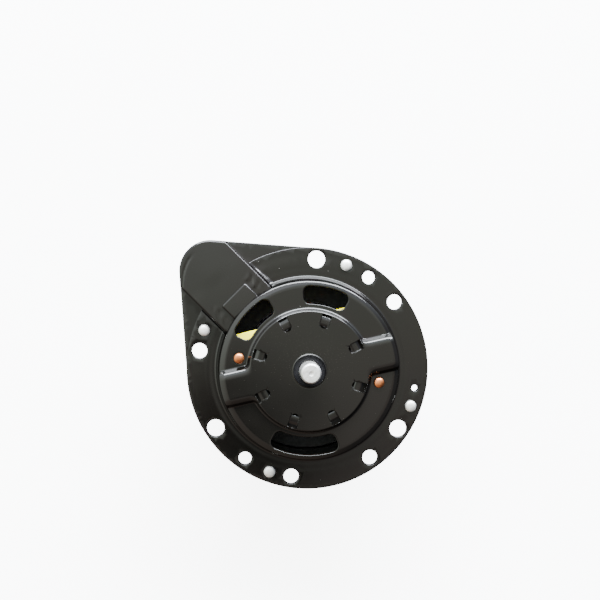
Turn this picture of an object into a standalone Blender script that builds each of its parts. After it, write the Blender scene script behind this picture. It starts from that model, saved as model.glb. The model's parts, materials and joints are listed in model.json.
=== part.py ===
"""Combustion fan: brushed DC motor in a teardrop mounting plate, with its fan wheel on the far shaft end.

The origin is on the shaft's axis, in the back plane of the mounting plate. +Z points along the shaft
towards the brush end, and +Y points along the cooling-air duct. Sizes are in millimetres, and every
mesh is scaled to metres as it is made.
"""

from math import acos, asin, cos, degrees, pi, radians, sin, sqrt

import bmesh
import bpy
from mathutils import Matrix, Vector

MM = 0.001
GAP = 0.3  # between pieces that touch

# Mounting plate and motor flange
PLATE_R = 50.0
SHEET = 1.2
CORNER_R = 12.8
CORNER_Y = 56.8
HOLE_CIRCLE_R = 45.25
BIG_HOLES = (3.6, (40.4, -78.9, 167.8))
MIDDLE_HOLES = (3.15, (-7.7, -100.2, -143.8, 125.6))
SMALL_HOLES = (2.7, (11.1, -170.0))
TINY_HOLES = (1.35, (-55.7,))
RIVET_CIRCLE_R = 45.45
RIVET_ANGLES = (24.6, 114.6, 204.6, 294.6)
RIVET_SHANK_R = 1.5
RIVET_HEAD_R = 2.4
RIVET_TAIL_R = 2.3
COLLAR_R = 37.0
COLLAR_TOP = 6.0
LIP_THICK = 1.1  # of the flange's turned-up edge beside the duct
FLANGE_BACK = SHEET + GAP
FLANGE_FACE = FLANGE_BACK + SHEET

# Cooling-air duct, pressed out of the mounting plate
DUCT_HALF = 13.2
DUCT_RIM = 0.3  # flat edge of the plate left round the duct's end
DUCT_START = COLLAR_R - 8.0
DUCT_TOP = 9.0
DUCT_WALL = 1.0
DUCT_SHOULDER = 0.7

# Motor can
CAN_R = 36.3
CAN_WALL = 1.2
CAN_OPEN_END = -36.0
SECTOR_TOP = 13.2
DISC_TOP = 16.0
DISC_R = 24.2
SPOKE_HALF = 6.5
SPOKE_ANGLES = (-32.5, 147.5)
WELL_R = 6.45
SLOT_R = (26.8, 34.2)
SLOT_CORNER_R = 2.7
SLOT_ANGLES = ((75.0, 109.4), (15.6, 49.4), (-163.75, -113.5))
LOUVER_COUNT = 8
LOUVER_START = 27.5
LOUVER_R = (17.9, 23.6)
LOUVER_HALF = 1.95
FLAP_HALF = 6.75
FLAP_R = 43.3
FLAP_SHEET = 1.0
WINDOW_BOTTOM = 3.0

# Shaft and bearings
SHAFT_R = 4.0
SHAFT_ENDS = (-64.0, 27.5)
BEARING_R = 11.0
BEARING_RACE = (6.3, 6.6)  # outside of the inner ring, inside of the outer ring
BEARING_H = 7.0
REAR_BEARING_Z = 7.5
FRONT_BEARING_Z = -44.0
CUP_WALL = 1.2

# Rotor inside the can
CORE_R = 26.0
CORE_Z = (-30.0, -12.0)
POLE_COUNT = 12
POLE_HALF = 2.1
SLOT_FLOOR_R = 12.5
POLE_TIP = 2.2
COMMUTATOR_R = 11.0
COMMUTATOR_Z = (-8.0, 4.0)
COMMUTATOR_BARS = 12

# Field magnets
MAGNET_R = (27.2, 34.8)
MAGNET_Z = (-31.5, -9.5)
MAGNET_HALF_ANGLE = 60.0
FIELD_ANGLE = 59.0

# Brush gear
BRUSH_ANGLES = (149.0, -31.0)
CARD_Z = (7.4, 9.0)
CARD_R = 34.4
CARD_CHORDS = (21.0, 16.0)
CARD_RIVET_R = 28.6
CARD_RIVET_SHANK_R = 1.6
CARD_RIVET_COLLAR_R = 3.0
CARD_RIVET_ANGLES = (125.0, -55.0)
BRUSH_LENGTH = 9.0
BRUSH_HALF = 3.0
BRUSH_Z = (-2.0, 3.0)
HOLDER_R = (12.6, 29.4)
HOLDER_WALL = 1.2
CHOKE_R = 3.0
CHOKE_ANGLES = (84.0, 34.0)
CHOKE_CIRCLE_R = 18.5

# Drive end
END_PLATE_FACE = CAN_OPEN_END - GAP
END_PLATE_SHEET = 1.7
END_SCREW_ANGLES = (33.0, 153.0, 273.0)
END_SCREW_Z = -34.3
END_SCREW_R = 1.3
END_SCREW_HEAD_R = 2.7
END_VENTS = 6
END_VENT_R = 4.5
END_VENT_CIRCLE_R = 22.5

# Terminal socket
SOCKET_ANGLE = -32.0
SOCKET_SIZE = (10.4, 16.0, 12.0)
SOCKET_BOTTOM = -18.0
SOCKET_WALL = 1.5
BLADE_SIZE = (0.8, 6.3, 11.0)
BLADE_OFFSET = 4.2

# Fan wheel
WHEEL_R = 40.0
WHEEL_TOP = -49.0
WHEEL_SHEET = 1.2
BLADE_COUNT = 14
BLADE_R = (19.0, 39.6)
BLADE_SWEEP = 38.0
BLADE_THICK = 1.2
BLADE_BOTTOM = -64.0
EYE_R = 24.0
HUB_R = 8.5
HUB_FLANGE_R = 14.0
HUB_BOTTOM = -61.0
SET_SCREW_Z = -56.0
SET_SCREW_R = 2.0

# Sides of large, middling and small round pieces
FINE = 40
MIDDLE = 24
ROUND = 20
SMALL = 10
HOLE_SIDES = 14


# ---------------------------------------------------------------- materials

def paint(name, colour, roughness, metallic=0.0):
    made = bpy.data.materials.new(name)
    made.use_nodes = True
    shader = made.node_tree.nodes["Principled BSDF"]
    shader.inputs["Base Color"].default_value = (*colour, 1.0)
    shader.inputs["Roughness"].default_value = roughness
    shader.inputs["Metallic"].default_value = metallic
    made.diffuse_color = (*colour, 1.0)
    return made


def make_materials():
    return {
        "black": paint("black_enamel", (0.022, 0.022, 0.024), 0.28),
        "steel": paint("bright_steel", (0.62, 0.62, 0.60), 0.28, 1.0),
        "zinc": paint("zinc_plate", (0.66, 0.67, 0.68), 0.35, 1.0),
        "copper": paint("copper", (0.78, 0.40, 0.24), 0.30, 1.0),
        "winding": paint("enamelled_wire", (0.45, 0.16, 0.06), 0.40, 0.8),
        "lamination": paint("lamination_steel", (0.20, 0.20, 0.21), 0.50, 1.0),
        "ferrite": paint("ferrite", (0.06, 0.06, 0.065), 0.55),
        "card": paint("yellow_card", (0.72, 0.66, 0.24), 0.50),
        "brass": paint("brass", (0.72, 0.52, 0.24), 0.35, 1.0),
        "carbon": paint("brush_carbon", (0.045, 0.045, 0.045), 0.60),
        "nylon": paint("black_nylon", (0.03, 0.03, 0.032), 0.50),
        "cast": paint("cast_aluminium", (0.55, 0.56, 0.57), 0.45, 1.0),
        "sleeve": paint("insulating_sleeve", (0.12, 0.16, 0.12), 0.50),
    }


# ---------------------------------------------------------------- outlines

def polar(radius, angle):
    return radius * cos(radians(angle)), radius * sin(radians(angle))


def arc(centre, radius, start, end, steps):
    """Points from angle start to angle end, both included, in degrees."""
    turns = (start + (end - start) * i / steps for i in range(steps + 1))
    return [(centre[0] + radius * cos(radians(a)), centre[1] + radius * sin(radians(a))) for a in turns]


def circle(centre, radius, steps):
    return arc(centre, radius, 0.0, 360.0 * (steps - 1) / steps, steps - 1)


def rectangle(x0, y0, x1, y1):
    return [(x0, y0), (x1, y0), (x1, y1), (x0, y1)]


def corner_tangent():
    """How far the plate's straight edges lean from the duct's direction, in degrees."""
    return degrees(acos((PLATE_R - CORNER_R) / CORNER_Y))


def teardrop():
    """The round plate and its corner, joined by the two common tangents."""
    tangent = corner_tangent()
    round_side = arc((0.0, 0.0), PLATE_R, 90.0 + tangent, 450.0 - tangent, FINE)
    return round_side + arc((0.0, CORNER_Y), CORNER_R, 90.0 - tangent, 90.0 + tangent, 12)


def duct_outline(inset, start):
    """A strip from y = start that fills the plate's corner, just inside its edge."""
    half = DUCT_HALF - inset
    rim = DUCT_RIM + inset
    tangent = corner_tangent()
    end = (PLATE_R - rim - half * sin(radians(tangent))) / cos(radians(tangent))
    corner = arc((0.0, CORNER_Y), CORNER_R - rim, 90.0 - tangent, 90.0 + tangent, 12)
    return [(-half, start), (half, start), (half, end)] + corner + [(-half, end)]


def kidney(radii, angles, corner):
    """A slot that bends round the axis, with rounded corners."""
    inner, outer = radii
    start, end = angles
    bends = 3
    steps = max(3, round((end - start) / 7.5))
    lean_in = degrees(asin(corner / (inner + corner)))
    lean_out = degrees(asin(corner / (outer - corner)))
    points = arc((0.0, 0.0), inner, end - lean_in, start + lean_in, steps)
    near = polar(inner + corner, start + lean_in)
    points += arc(near, corner, start + lean_in + 180.0, start - 90.0 + 360.0, bends)[1:]
    far = polar(outer - corner, start + lean_out)
    points += arc(far, corner, start + 270.0, start + lean_out + 360.0, bends)
    points += arc((0.0, 0.0), outer, start + lean_out, end - lean_out, steps)[1:]
    far = polar(outer - corner, end - lean_out)
    points += arc(far, corner, end - lean_out, end + 90.0, bends)[1:]
    near = polar(inner + corner, end - lean_in)
    points += arc(near, corner, end + 90.0, end - lean_in + 180.0, bends)[:-1]
    return points


# ---------------------------------------------------------------- solids

def finish_mesh(bm, name):
    bmesh.ops.remove_doubles(bm, verts=bm.verts, dist=1e-7)
    bmesh.ops.recalc_face_normals(bm, faces=bm.faces)
    mesh = bpy.data.meshes.new(name)
    bm.to_mesh(mesh)
    bm.free()
    mesh.shade_smooth()
    mesh.set_sharp_from_angle(angle=radians(32.0))
    return mesh


def place(name, bm, material, parent=None):
    """Makes the object. Its mesh is built about the world's origin, or about its parent empty's."""
    made = bpy.data.objects.new(name, finish_mesh(bm, name))
    made.data.materials.append(material)
    bpy.context.scene.collection.objects.link(made)
    made.parent = parent
    return made


def add_loft(bm, levels, at=None):
    """Joins outlines with equal point counts, each at its own height, into one closed solid."""
    where = at or Matrix()
    loops = [[bm.verts.new(where @ Vector((x * MM, y * MM, z * MM))) for x, y in ring] for ring, z in levels]
    for low, high in zip(loops, loops[1:]):
        for i in range(len(low)):
            j = (i + 1) % len(low)
            bm.faces.new((low[i], low[j], high[j], high[i]))
    bm.faces.new(tuple(reversed(loops[0])))
    bm.faces.new(tuple(loops[-1]))


def add_prism(bm, outline, low, high, at=None):
    add_loft(bm, ((outline, low), (outline, high)), at)


def add_turned(bm, profile, steps, at=None):
    """Spins a closed (radius, height) section about Z. Points on the axis become one vertex."""
    where = at or Matrix()
    columns = []
    for radius, height in profile:
        count = 1 if radius == 0.0 else steps
        ring = [polar(radius, 360.0 * i / count) for i in range(count)]
        columns.append([bm.verts.new(where @ Vector((x * MM, y * MM, height * MM))) for x, y in ring])
    for here, after in zip(columns, columns[1:] + columns[:1]):
        for i in range(steps):
            j = (i + 1) % steps
            corners = [here[i % len(here)], after[i % len(after)], after[j % len(after)], here[j % len(here)]]
            corners = list(dict.fromkeys(corners))
            if len(corners) > 2:
                bm.faces.new(corners)


def prism(name, outline, low, high, material, parent=None, at=None):
    bm = bmesh.new()
    add_prism(bm, outline, low, high, at)
    return place(name, bm, material, parent)


def turned(name, profile, steps, material, parent=None, at=None):
    bm = bmesh.new()
    add_turned(bm, profile, steps, at)
    return place(name, bm, material, parent)


def tube_profile(inner, outer, low, high):
    return [(inner, low), (outer, low), (outer, high), (inner, high)]


def rod_profile(radius, low, high, chamfer):
    return [
        (0.0, low),
        (radius - chamfer, low),
        (radius, low + chamfer),
        (radius, high - chamfer),
        (radius - chamfer, high),
        (0.0, high),
    ]


def helper(bm, name):
    """A hidden solid that a Boolean uses."""
    made = bpy.data.objects.new(name, finish_mesh(bm, name))
    bpy.context.scene.collection.objects.link(made)
    made.hide_render = True
    made.display_type = "WIRE"
    return made


def combine(target, other, operation):
    modifier = target.modifiers.new(f"{operation.lower()}_{other.name}", "BOOLEAN")
    modifier.operation = operation
    modifier.object = other
    modifier.solver = "EXACT"


def cut(target, bm, name):
    combine(target, helper(bm, f"{target.name}_{name}"), "DIFFERENCE")


def join(target, bm, name):
    combine(target, helper(bm, f"{target.name}_{name}"), "UNION")


def along(angle, height=0.0):
    """Local X runs outward along the angle, and the origin is on the axis at the height."""
    return Matrix.Translation((0.0, 0.0, height * MM)) @ Matrix.Rotation(radians(angle), 4, "Z")


def radial(angle, height):
    """Local Z runs outward along the angle, and the origin is on the axis at the height."""
    return along(angle, height) @ Matrix.Rotation(radians(90.0), 4, "Y")


def empty(name, matrix=None, parent=None):
    made = bpy.data.objects.new(name, None)
    made.empty_display_size = 0.01
    bpy.context.scene.collection.objects.link(made)
    made.parent = parent
    made.matrix_basis = matrix or Matrix()
    return made


# ---------------------------------------------------------------- plate, flange and rivets

def add_plate_holes(bm, low, high):
    for radius, angles in (BIG_HOLES, MIDDLE_HOLES, SMALL_HOLES, TINY_HOLES):
        for angle in angles:
            add_prism(bm, circle(polar(HOLE_CIRCLE_R, angle), radius, HOLE_SIDES), low, high)
    for angle in RIVET_ANGLES:
        add_prism(bm, circle(polar(RIVET_CIRCLE_R, angle), RIVET_SHANK_R + GAP, SMALL), low, high)


def make_mounting_plate(black, parent):
    plate = prism("mounting_plate", teardrop(), 0.0, SHEET, black, parent)
    bm = bmesh.new()
    bend = 0.3 * DUCT_SHOULDER
    levels = (
        (duct_outline(0.0, DUCT_START), 0.4 * SHEET),
        (duct_outline(0.0, DUCT_START), DUCT_TOP - DUCT_SHOULDER),
        (duct_outline(bend, DUCT_START), DUCT_TOP - bend),
        (duct_outline(DUCT_SHOULDER, DUCT_START), DUCT_TOP),
    )
    add_loft(bm, levels)
    join(plate, bm, "duct")
    bm = bmesh.new()
    add_prism(bm, duct_outline(DUCT_WALL, DUCT_START - 2.0), -1.0, DUCT_TOP - DUCT_WALL)
    cut(plate, bm, "duct_hollow")
    bm = bmesh.new()
    add_prism(bm, circle((0.0, 0.0), COLLAR_R + 0.3, FINE), -2.0, DUCT_TOP + 2.0)
    cut(plate, bm, "motor_opening")
    bm = bmesh.new()
    add_plate_holes(bm, -1.0, SHEET + 1.0)
    cut(plate, bm, "holes")
    return plate


def make_motor_flange(black, parent):
    """The round flange, with a collar round the can and a lip along each side of the duct."""
    section = [
        (PLATE_R, FLANGE_BACK),
        (PLATE_R, FLANGE_FACE),
        (COLLAR_R + 3.6, FLANGE_FACE),
        (COLLAR_R + 2.2, FLANGE_FACE + 0.5),
        (COLLAR_R + 1.3, FLANGE_FACE + 1.5),
        (COLLAR_R + 1.0, COLLAR_TOP),
        (COLLAR_R, COLLAR_TOP),
        (COLLAR_R, FLANGE_FACE + 0.9),
        (COLLAR_R + 1.2, FLANGE_BACK + 0.4),
        (COLLAR_R + 2.8, FLANGE_BACK),
    ]
    flange = turned("motor_flange", section, FINE, black, parent)
    gate = DUCT_HALF + 2 * GAP
    bm = bmesh.new()
    add_prism(bm, rectangle(-gate, 10.0, gate, PLATE_R + 5.0), 0.0, COLLAR_TOP + 2.0)
    cut(flange, bm, "duct_gate")
    for side in (-1, 1):
        edges = sorted((side * (gate - 0.02), side * (gate + LIP_THICK)))
        ends = [sqrt(reach**2 - gate**2) for reach in (COLLAR_R + 0.4, PLATE_R - 1.2)]
        bm = bmesh.new()
        foot = rectangle(edges[0], ends[0], edges[1], ends[1])
        crest = rectangle(edges[0], ends[0], edges[1], ends[1] - 4.0)
        add_loft(bm, ((foot, FLANGE_BACK + 0.3), (foot, FLANGE_FACE + 0.3), (crest, COLLAR_TOP - 0.6)))
        join(flange, bm, "right_lip" if side > 0 else "left_lip")
    bm = bmesh.new()
    add_plate_holes(bm, 0.0, FLANGE_FACE + 1.0)
    cut(flange, bm, "holes")
    return flange


def make_plate_rivets(zinc, parent):
    low = -GAP
    high = FLANGE_FACE + GAP
    section = [
        (0.0, low - 1.2),
        (RIVET_TAIL_R - 0.5, low - 1.2),
        (RIVET_TAIL_R, low),
        (RIVET_SHANK_R, low),
        (RIVET_SHANK_R, high),
        (RIVET_HEAD_R, high),
        (RIVET_HEAD_R - 0.15, high + 0.6),
        (RIVET_HEAD_R - 0.8, high + 1.1),
        (0.0, high + 1.35),
    ]
    for number, angle in enumerate(RIVET_ANGLES, 1):
        x, y = polar(RIVET_CIRCLE_R, angle)
        rivet = turned(f"plate_rivet_{number}", section, SMALL, zinc, parent)
        rivet.location = (x * MM, y * MM, 0.0)


# ---------------------------------------------------------------- motor can

def can_outside():
    return [
        (0.0, CAN_OPEN_END),
        (CAN_R, CAN_OPEN_END),
        (CAN_R, SECTOR_TOP - 2.2),
        (CAN_R - 0.6, SECTOR_TOP - 0.8),
        (CAN_R - 1.9, SECTOR_TOP),
        (DISC_R + 0.5, SECTOR_TOP),
        (DISC_R + 0.1, SECTOR_TOP + 0.4),
        (DISC_R, DISC_TOP - 0.8),
        (DISC_R - 0.3, DISC_TOP - 0.25),
        (DISC_R - 0.9, DISC_TOP),
        (0.0, DISC_TOP),
    ]


def can_inside():
    return [
        (0.0, CAN_OPEN_END - 2.0),
        (CAN_R - CAN_WALL, CAN_OPEN_END - 2.0),
        (CAN_R - CAN_WALL, SECTOR_TOP - CAN_WALL - 1.2),
        (CAN_R - CAN_WALL - 0.9, SECTOR_TOP - CAN_WALL),
        (DISC_R - 0.6, SECTOR_TOP - CAN_WALL),
        (DISC_R - CAN_WALL, SECTOR_TOP - CAN_WALL + 0.6),
        (DISC_R - CAN_WALL, DISC_TOP - CAN_WALL),
        (0.0, DISC_TOP - CAN_WALL),
    ]


def spoke_outline(inset):
    """A bar across the whole face, whose ends follow the can's rim."""
    half = SPOKE_HALF - inset
    reach = CAN_R - 0.25 - inset
    lean = degrees(asin(half / reach))
    return arc((0.0, 0.0), reach, -lean, lean, 4) + arc((0.0, 0.0), reach, 180.0 - lean, 180.0 + lean, 4)


def make_motor_can(black, parent):
    can = turned("motor_can", can_outside(), FINE, black, parent)
    turn = along(SPOKE_ANGLES[0])
    bm = bmesh.new()
    levels = (
        (spoke_outline(0.0), SECTOR_TOP - 2.6),
        (spoke_outline(0.25), DISC_TOP - 1.3),
        (spoke_outline(0.8), DISC_TOP - 0.4),
        (spoke_outline(1.6), DISC_TOP + 0.02),
    )
    add_loft(bm, levels, turn)
    join(can, bm, "spokes")
    bm = bmesh.new()
    add_turned(bm, can_inside(), FINE)
    cut(can, bm, "hollow")
    bm = bmesh.new()
    add_prism(bm, spoke_outline(CAN_WALL + 0.3), SECTOR_TOP - 4.0, DISC_TOP - CAN_WALL - 0.02, turn)
    cut(can, bm, "spoke_hollow")
    bm = bmesh.new()
    cup_r = BEARING_R + GAP
    add_turned(bm, tube_profile(cup_r, cup_r + CUP_WALL, REAR_BEARING_Z - 0.6, DISC_TOP - 0.5), MIDDLE)
    join(can, bm, "bearing_cup")
    bm = bmesh.new()
    flap = rectangle(CAN_R - CAN_WALL + 0.1, -FLAP_HALF, FLAP_R, FLAP_HALF)
    flap_low = DUCT_TOP + GAP
    add_prism(bm, flap, flap_low, flap_low + FLAP_SHEET, along(90.0))
    join(can, bm, "flap")
    bm = bmesh.new()
    window = rectangle(CAN_R - 6.0, -FLAP_HALF, CAN_R + 1.0, FLAP_HALF)
    add_prism(bm, window, WINDOW_BOTTOM, flap_low, along(90.0))
    for angles in SLOT_ANGLES:
        add_prism(bm, kidney(SLOT_R, angles, SLOT_CORNER_R), SECTOR_TOP - 3.0, SECTOR_TOP + 1.0)
    for angle in CARD_RIVET_ANGLES:
        x, y = polar(CARD_RIVET_R, angle)
        hole = circle((x, y), CARD_RIVET_SHANK_R + GAP, SMALL)
        add_prism(bm, hole, SECTOR_TOP - 3.0, SECTOR_TOP + 1.0)
    for angle in END_SCREW_ANGLES:
        hole = circle((0.0, 0.0), END_SCREW_R + GAP, SMALL)
        add_prism(bm, hole, CAN_R - 3.0, CAN_R + 1.0, radial(angle, END_SCREW_Z))
    add_prism(bm, circle((0.0, 0.0), WELL_R, ROUND), DISC_TOP - 4.0, DISC_TOP + 1.0)
    cut(can, bm, "openings")
    bm = bmesh.new()
    for number in range(LOUVER_COUNT):
        turn = along(LOUVER_START + 360.0 * number / LOUVER_COUNT)
        inner, outer = LOUVER_R
        bend = arc((inner + LOUVER_HALF, 0.0), LOUVER_HALF, 90.0, 270.0, 4)
        outline = bend + [(outer, -LOUVER_HALF), (outer, LOUVER_HALF)]
        add_prism(bm, outline, DISC_TOP - 0.75, DISC_TOP + 1.0, turn)
        slit = rectangle(outer - 1.6, 0.3 - LOUVER_HALF, outer - 0.85, LOUVER_HALF - 0.3)
        add_prism(bm, slit, DISC_TOP - CAN_WALL - 0.5, DISC_TOP - 0.5, turn)
    cut(can, bm, "louvers")
    return can


# ---------------------------------------------------------------- bearings and shaft

def make_bearing(end, low, steel, root, rotor):
    """The balls and their cage stay inside, between the two rings."""
    high = low + BEARING_H
    inner_r, outer_r = BEARING_RACE
    ring = [
        (outer_r, low + 0.4),
        (BEARING_R - 1.7, low + 0.4),
        (BEARING_R - 1.6, low),
        (BEARING_R, low),
        (BEARING_R, high),
        (BEARING_R - 1.6, high),
        (BEARING_R - 1.7, high - 0.4),
        (outer_r, high - 0.4),
    ]
    turned(f"{end}_bearing_outer", ring, ROUND, steel, root)
    turned(f"{end}_bearing_inner", tube_profile(SHAFT_R + GAP, inner_r, low, high), ROUND, steel, rotor)


def make_wave_washer(steel, root):
    """A thin ring under the front bearing, with three shallow waves."""
    bm = bmesh.new()
    steps = 18
    rings = []
    for radius in (8.6, 10.6):
        for offset in (0.0, 0.25):
            ring = []
            for i in range(steps):
                x, y = polar(radius, 360.0 * i / steps)
                wave = 0.1 * sin(2 * pi * 3 * i / steps)
                z = FRONT_BEARING_Z - GAP - 0.4 + wave + offset
                ring.append(bm.verts.new((x * MM, y * MM, z * MM)))
            rings.append(ring)
    for here, after in ((0, 2), (2, 3), (3, 1), (1, 0)):
        for i in range(steps):
            j = (i + 1) % steps
            bm.faces.new((rings[here][i], rings[here][j], rings[after][j], rings[after][i]))
    place("wave_washer", bm, steel, root)


def make_shaft(steel, rotor):
    low, high = SHAFT_ENDS
    groove = SHAFT_R - 0.5
    section = [
        (0.0, low),
        (SHAFT_R - 0.6, low),
        (SHAFT_R, low + 0.6),
        (SHAFT_R, REAR_BEARING_Z - 1.6),
        (groove, REAR_BEARING_Z - 1.6),
        (groove, REAR_BEARING_Z - 0.4),
        (SHAFT_R, REAR_BEARING_Z - 0.4),
        (SHAFT_R, high - 0.7),
        (SHAFT_R - 0.7, high),
        (0.0, high),
    ]
    turned("shaft", section, ROUND, steel, rotor)
    opening = 32.0
    outline = arc((0.0, 0.0), 5.4, opening, 360.0 - opening, 20)
    outline += arc((0.0, 0.0), groove + 0.25, 360.0 - opening, opening, 20)
    prism("shaft_circlip", outline, REAR_BEARING_Z - 1.3, REAR_BEARING_Z - 0.7, steel, rotor)


# ---------------------------------------------------------------- rotor

def core_outline():
    """Twelve T-shaped poles."""
    points = []
    head = 360.0 / POLE_COUNT / 2 - 2.4
    for pole in range(POLE_COUNT):
        middle = 360.0 * pole / POLE_COUNT
        neck_out = sqrt((CORE_R - POLE_TIP) ** 2 - POLE_HALF**2)
        neck_in = sqrt(SLOT_FLOOR_R**2 - POLE_HALF**2)
        turn = Matrix.Rotation(radians(middle), 2)
        under_tip = polar(CORE_R - POLE_TIP + 0.5, head)
        side = [(neck_in, POLE_HALF), (neck_out, POLE_HALF), under_tip]
        right = [(x, -y) for x, y in side]
        tip = arc((0.0, 0.0), CORE_R, -head, head, 3)
        for point in right + tip + list(reversed(side)):
            points.append(tuple(turn @ Vector(point)))
    return points


def make_rotor(materials, rotor):
    low, high = CORE_Z
    core = prism("armature_core", core_outline(), low, high, materials["lamination"], rotor)
    bm = bmesh.new()
    add_prism(bm, circle((0.0, 0.0), SHAFT_R + GAP, ROUND), low - 1.0, high + 1.0)
    cut(core, bm, "bore")

    top = [(7.6, 0.3), (22.4, 0.3), (23.4, 1.8), (20.6, 3.4), (8.6, 3.4)]
    upper = [(r, high + z) for r, z in top]
    windings = turned("armature_windings", upper, MIDDLE, materials["winding"], rotor)
    bm = bmesh.new()
    add_turned(bm, [(r, low - z) for r, z in reversed(top)], MIDDLE)
    join(windings, bm, "lower_turns")
    bm = bmesh.new()
    for slot in range(POLE_COUNT):
        half_pitch = radians(180.0 / POLE_COUNT)
        turn = along(360.0 * (slot + 0.5) / POLE_COUNT)
        inner, outer = SLOT_FLOOR_R + 0.9, CORE_R - POLE_TIP - 0.9
        widths = [(r * sin(half_pitch) - POLE_HALF - GAP) / cos(half_pitch) for r in (inner, outer)]
        wedge = [(inner, -widths[0]), (outer, -widths[1]), (outer, widths[1]), (inner, widths[0])]
        add_prism(bm, wedge, low - 1.4, high + 1.4, turn)
    join(windings, bm, "slot_turns")

    low, high = COMMUTATOR_Z
    section = [
        (SHAFT_R + GAP, low),
        (COMMUTATOR_R + 1.6, low),
        (COMMUTATOR_R + 1.6, low + 1.6),
        (COMMUTATOR_R, low + 2.0),
        (COMMUTATOR_R, high),
        (SHAFT_R + GAP, high),
    ]
    commutator = turned("commutator", section, MIDDLE, materials["copper"], rotor)
    bm = bmesh.new()
    for bar in range(COMMUTATOR_BARS):
        slit = rectangle(COMMUTATOR_R - 0.7, -0.3, COMMUTATOR_R + 3.0, 0.3)
        add_prism(bm, slit, low - 1.0, high + 1.0, along(360.0 * (bar + 0.5) / COMMUTATOR_BARS + 1.3))
    cut(commutator, bm, "bar_gaps")

    spacer = tube_profile(SHAFT_R + GAP, 6.2, FRONT_BEARING_Z + BEARING_H + GAP, CORE_Z[0] - GAP)
    turned("armature_spacer", spacer, ROUND, materials["steel"], rotor)


# ---------------------------------------------------------------- field

def make_field(materials, root):
    low, high = MAGNET_Z
    inner, outer = MAGNET_R
    for number, middle in enumerate((FIELD_ANGLE, FIELD_ANGLE + 180.0), 1):
        outline = arc((0.0, 0.0), outer, -MAGNET_HALF_ANGLE, MAGNET_HALF_ANGLE, 16)
        outline += arc((0.0, 0.0), inner, MAGNET_HALF_ANGLE, -MAGNET_HALF_ANGLE, 16)
        prism(f"magnet_{number}", outline, low, high, materials["ferrite"], root, along(middle))
    lean = 90.0 - MAGNET_HALF_ANGLE - 1.0
    thick = 0.8
    for number, middle in enumerate(BRUSH_ANGLES, 1):
        back = arc((0.0, 0.0), outer, -lean, lean, 8)
        turn_in = [polar(inner + 1.5, lean), polar(inner + 1.5, lean - 1.6)]
        front = arc((0.0, 0.0), outer - thick, lean - 1.4, 1.4 - lean, 8)
        turn_out = [polar(inner + 1.5, 1.6 - lean), polar(inner + 1.5, -lean)]
        outline = back + turn_in + front + turn_out
        prism(f"magnet_clip_{number}", outline, low + 3, high - 3, materials["steel"], root, along(middle))


# ---------------------------------------------------------------- brush gear

def card_outline():
    """A round board with a chord cut off at two sides. Local X is the chords' normal."""
    far, near = CARD_CHORDS
    upper = degrees(acos(far / CARD_R))
    lower = degrees(acos(near / CARD_R))
    left = arc((0.0, 0.0), CARD_R, upper, 180.0 - lower, 12)
    right = arc((0.0, 0.0), CARD_R, 180.0 + lower, 360.0 - upper, 12)
    return left + right


def make_brush_card(materials, root):
    low, high = CARD_Z
    card = prism("brush_card", card_outline(), low, high, materials["card"], root, along(FIELD_ANGLE))
    bm = bmesh.new()
    add_prism(bm, circle((0.0, 0.0), BEARING_R + GAP + CUP_WALL + 0.5, ROUND), low - 1.0, high + 1.0)
    for angle in CARD_RIVET_ANGLES:
        hole = circle(polar(CARD_RIVET_R, angle), CARD_RIVET_SHANK_R + GAP, SMALL)
        add_prism(bm, hole, low - 1.0, high + 1.0)
    cut(card, bm, "holes")
    sheet_back = SECTOR_TOP - CAN_WALL
    shank = CARD_RIVET_SHANK_R
    section = [
        (0.0, low - GAP - 0.9),
        (2.4, low - GAP - 0.9),
        (2.6, low - GAP),
        (shank, low - GAP),
        (shank, high + GAP),
        (CARD_RIVET_COLLAR_R, high + GAP),
        (CARD_RIVET_COLLAR_R, sheet_back - GAP),
        (shank, sheet_back - GAP),
        (shank, SECTOR_TOP + GAP),
        (2.15, SECTOR_TOP + GAP),
        (2.0, SECTOR_TOP + GAP + 0.6),
        (1.2, SECTOR_TOP + GAP + 1.05),
        (0.0, SECTOR_TOP + GAP + 1.2),
    ]
    for number, angle in enumerate(CARD_RIVET_ANGLES, 1):
        x, y = polar(CARD_RIVET_R, angle)
        rivet = turned(f"card_rivet_{number}", section, SMALL, materials["copper"], root)
        rivet.location = (x * MM, y * MM, 0.0)
    for number, angle in enumerate(CHOKE_ANGLES, 1):
        x, y = polar(CHOKE_CIRCLE_R, angle)
        core = rod_profile(CHOKE_R, -6.0, low - GAP, 0.5)
        choke = turned(f"choke_{number}", core, SMALL, materials["sleeve"], root)
        choke.location = (x * MM, y * MM, 0.0)


def make_brush_spring(number, angle, steel, root):
    """A coil along the holder, between the brush and the holder's back wall."""
    start = COMMUTATOR_R + GAP + BRUSH_LENGTH + GAP
    end = HOLDER_R[1] - HOLDER_WALL - GAP
    turns, steps, sides = 4.5, 8, 4
    wire, coil = 0.3, 1.9
    middle = (BRUSH_Z[0] + BRUSH_Z[1]) / 2
    count = int(turns * steps)
    bm = bmesh.new()
    rings = []
    for i in range(count + 1):
        turn = 2 * pi * i / steps
        reach = start + wire + (end - start - 2 * wire) * i / count
        ring = []
        for k in range(sides):
            side = 2 * pi * k / sides
            out = coil + wire * cos(side)
            ring.append(bm.verts.new((
                (reach + wire * sin(side)) * MM,
                out * cos(turn) * MM,
                (middle + out * sin(turn)) * MM,
            )))
        rings.append(ring)
    for here, after in zip(rings, rings[1:]):
        for k in range(sides):
            j = (k + 1) % sides
            bm.faces.new((here[k], here[j], after[j], after[k]))
    bm.faces.new(rings[0])
    bm.faces.new(tuple(reversed(rings[-1])))
    bmesh.ops.transform(bm, matrix=along(angle), verts=bm.verts)
    place(f"brush_spring_{number}", bm, steel, root)


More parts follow.
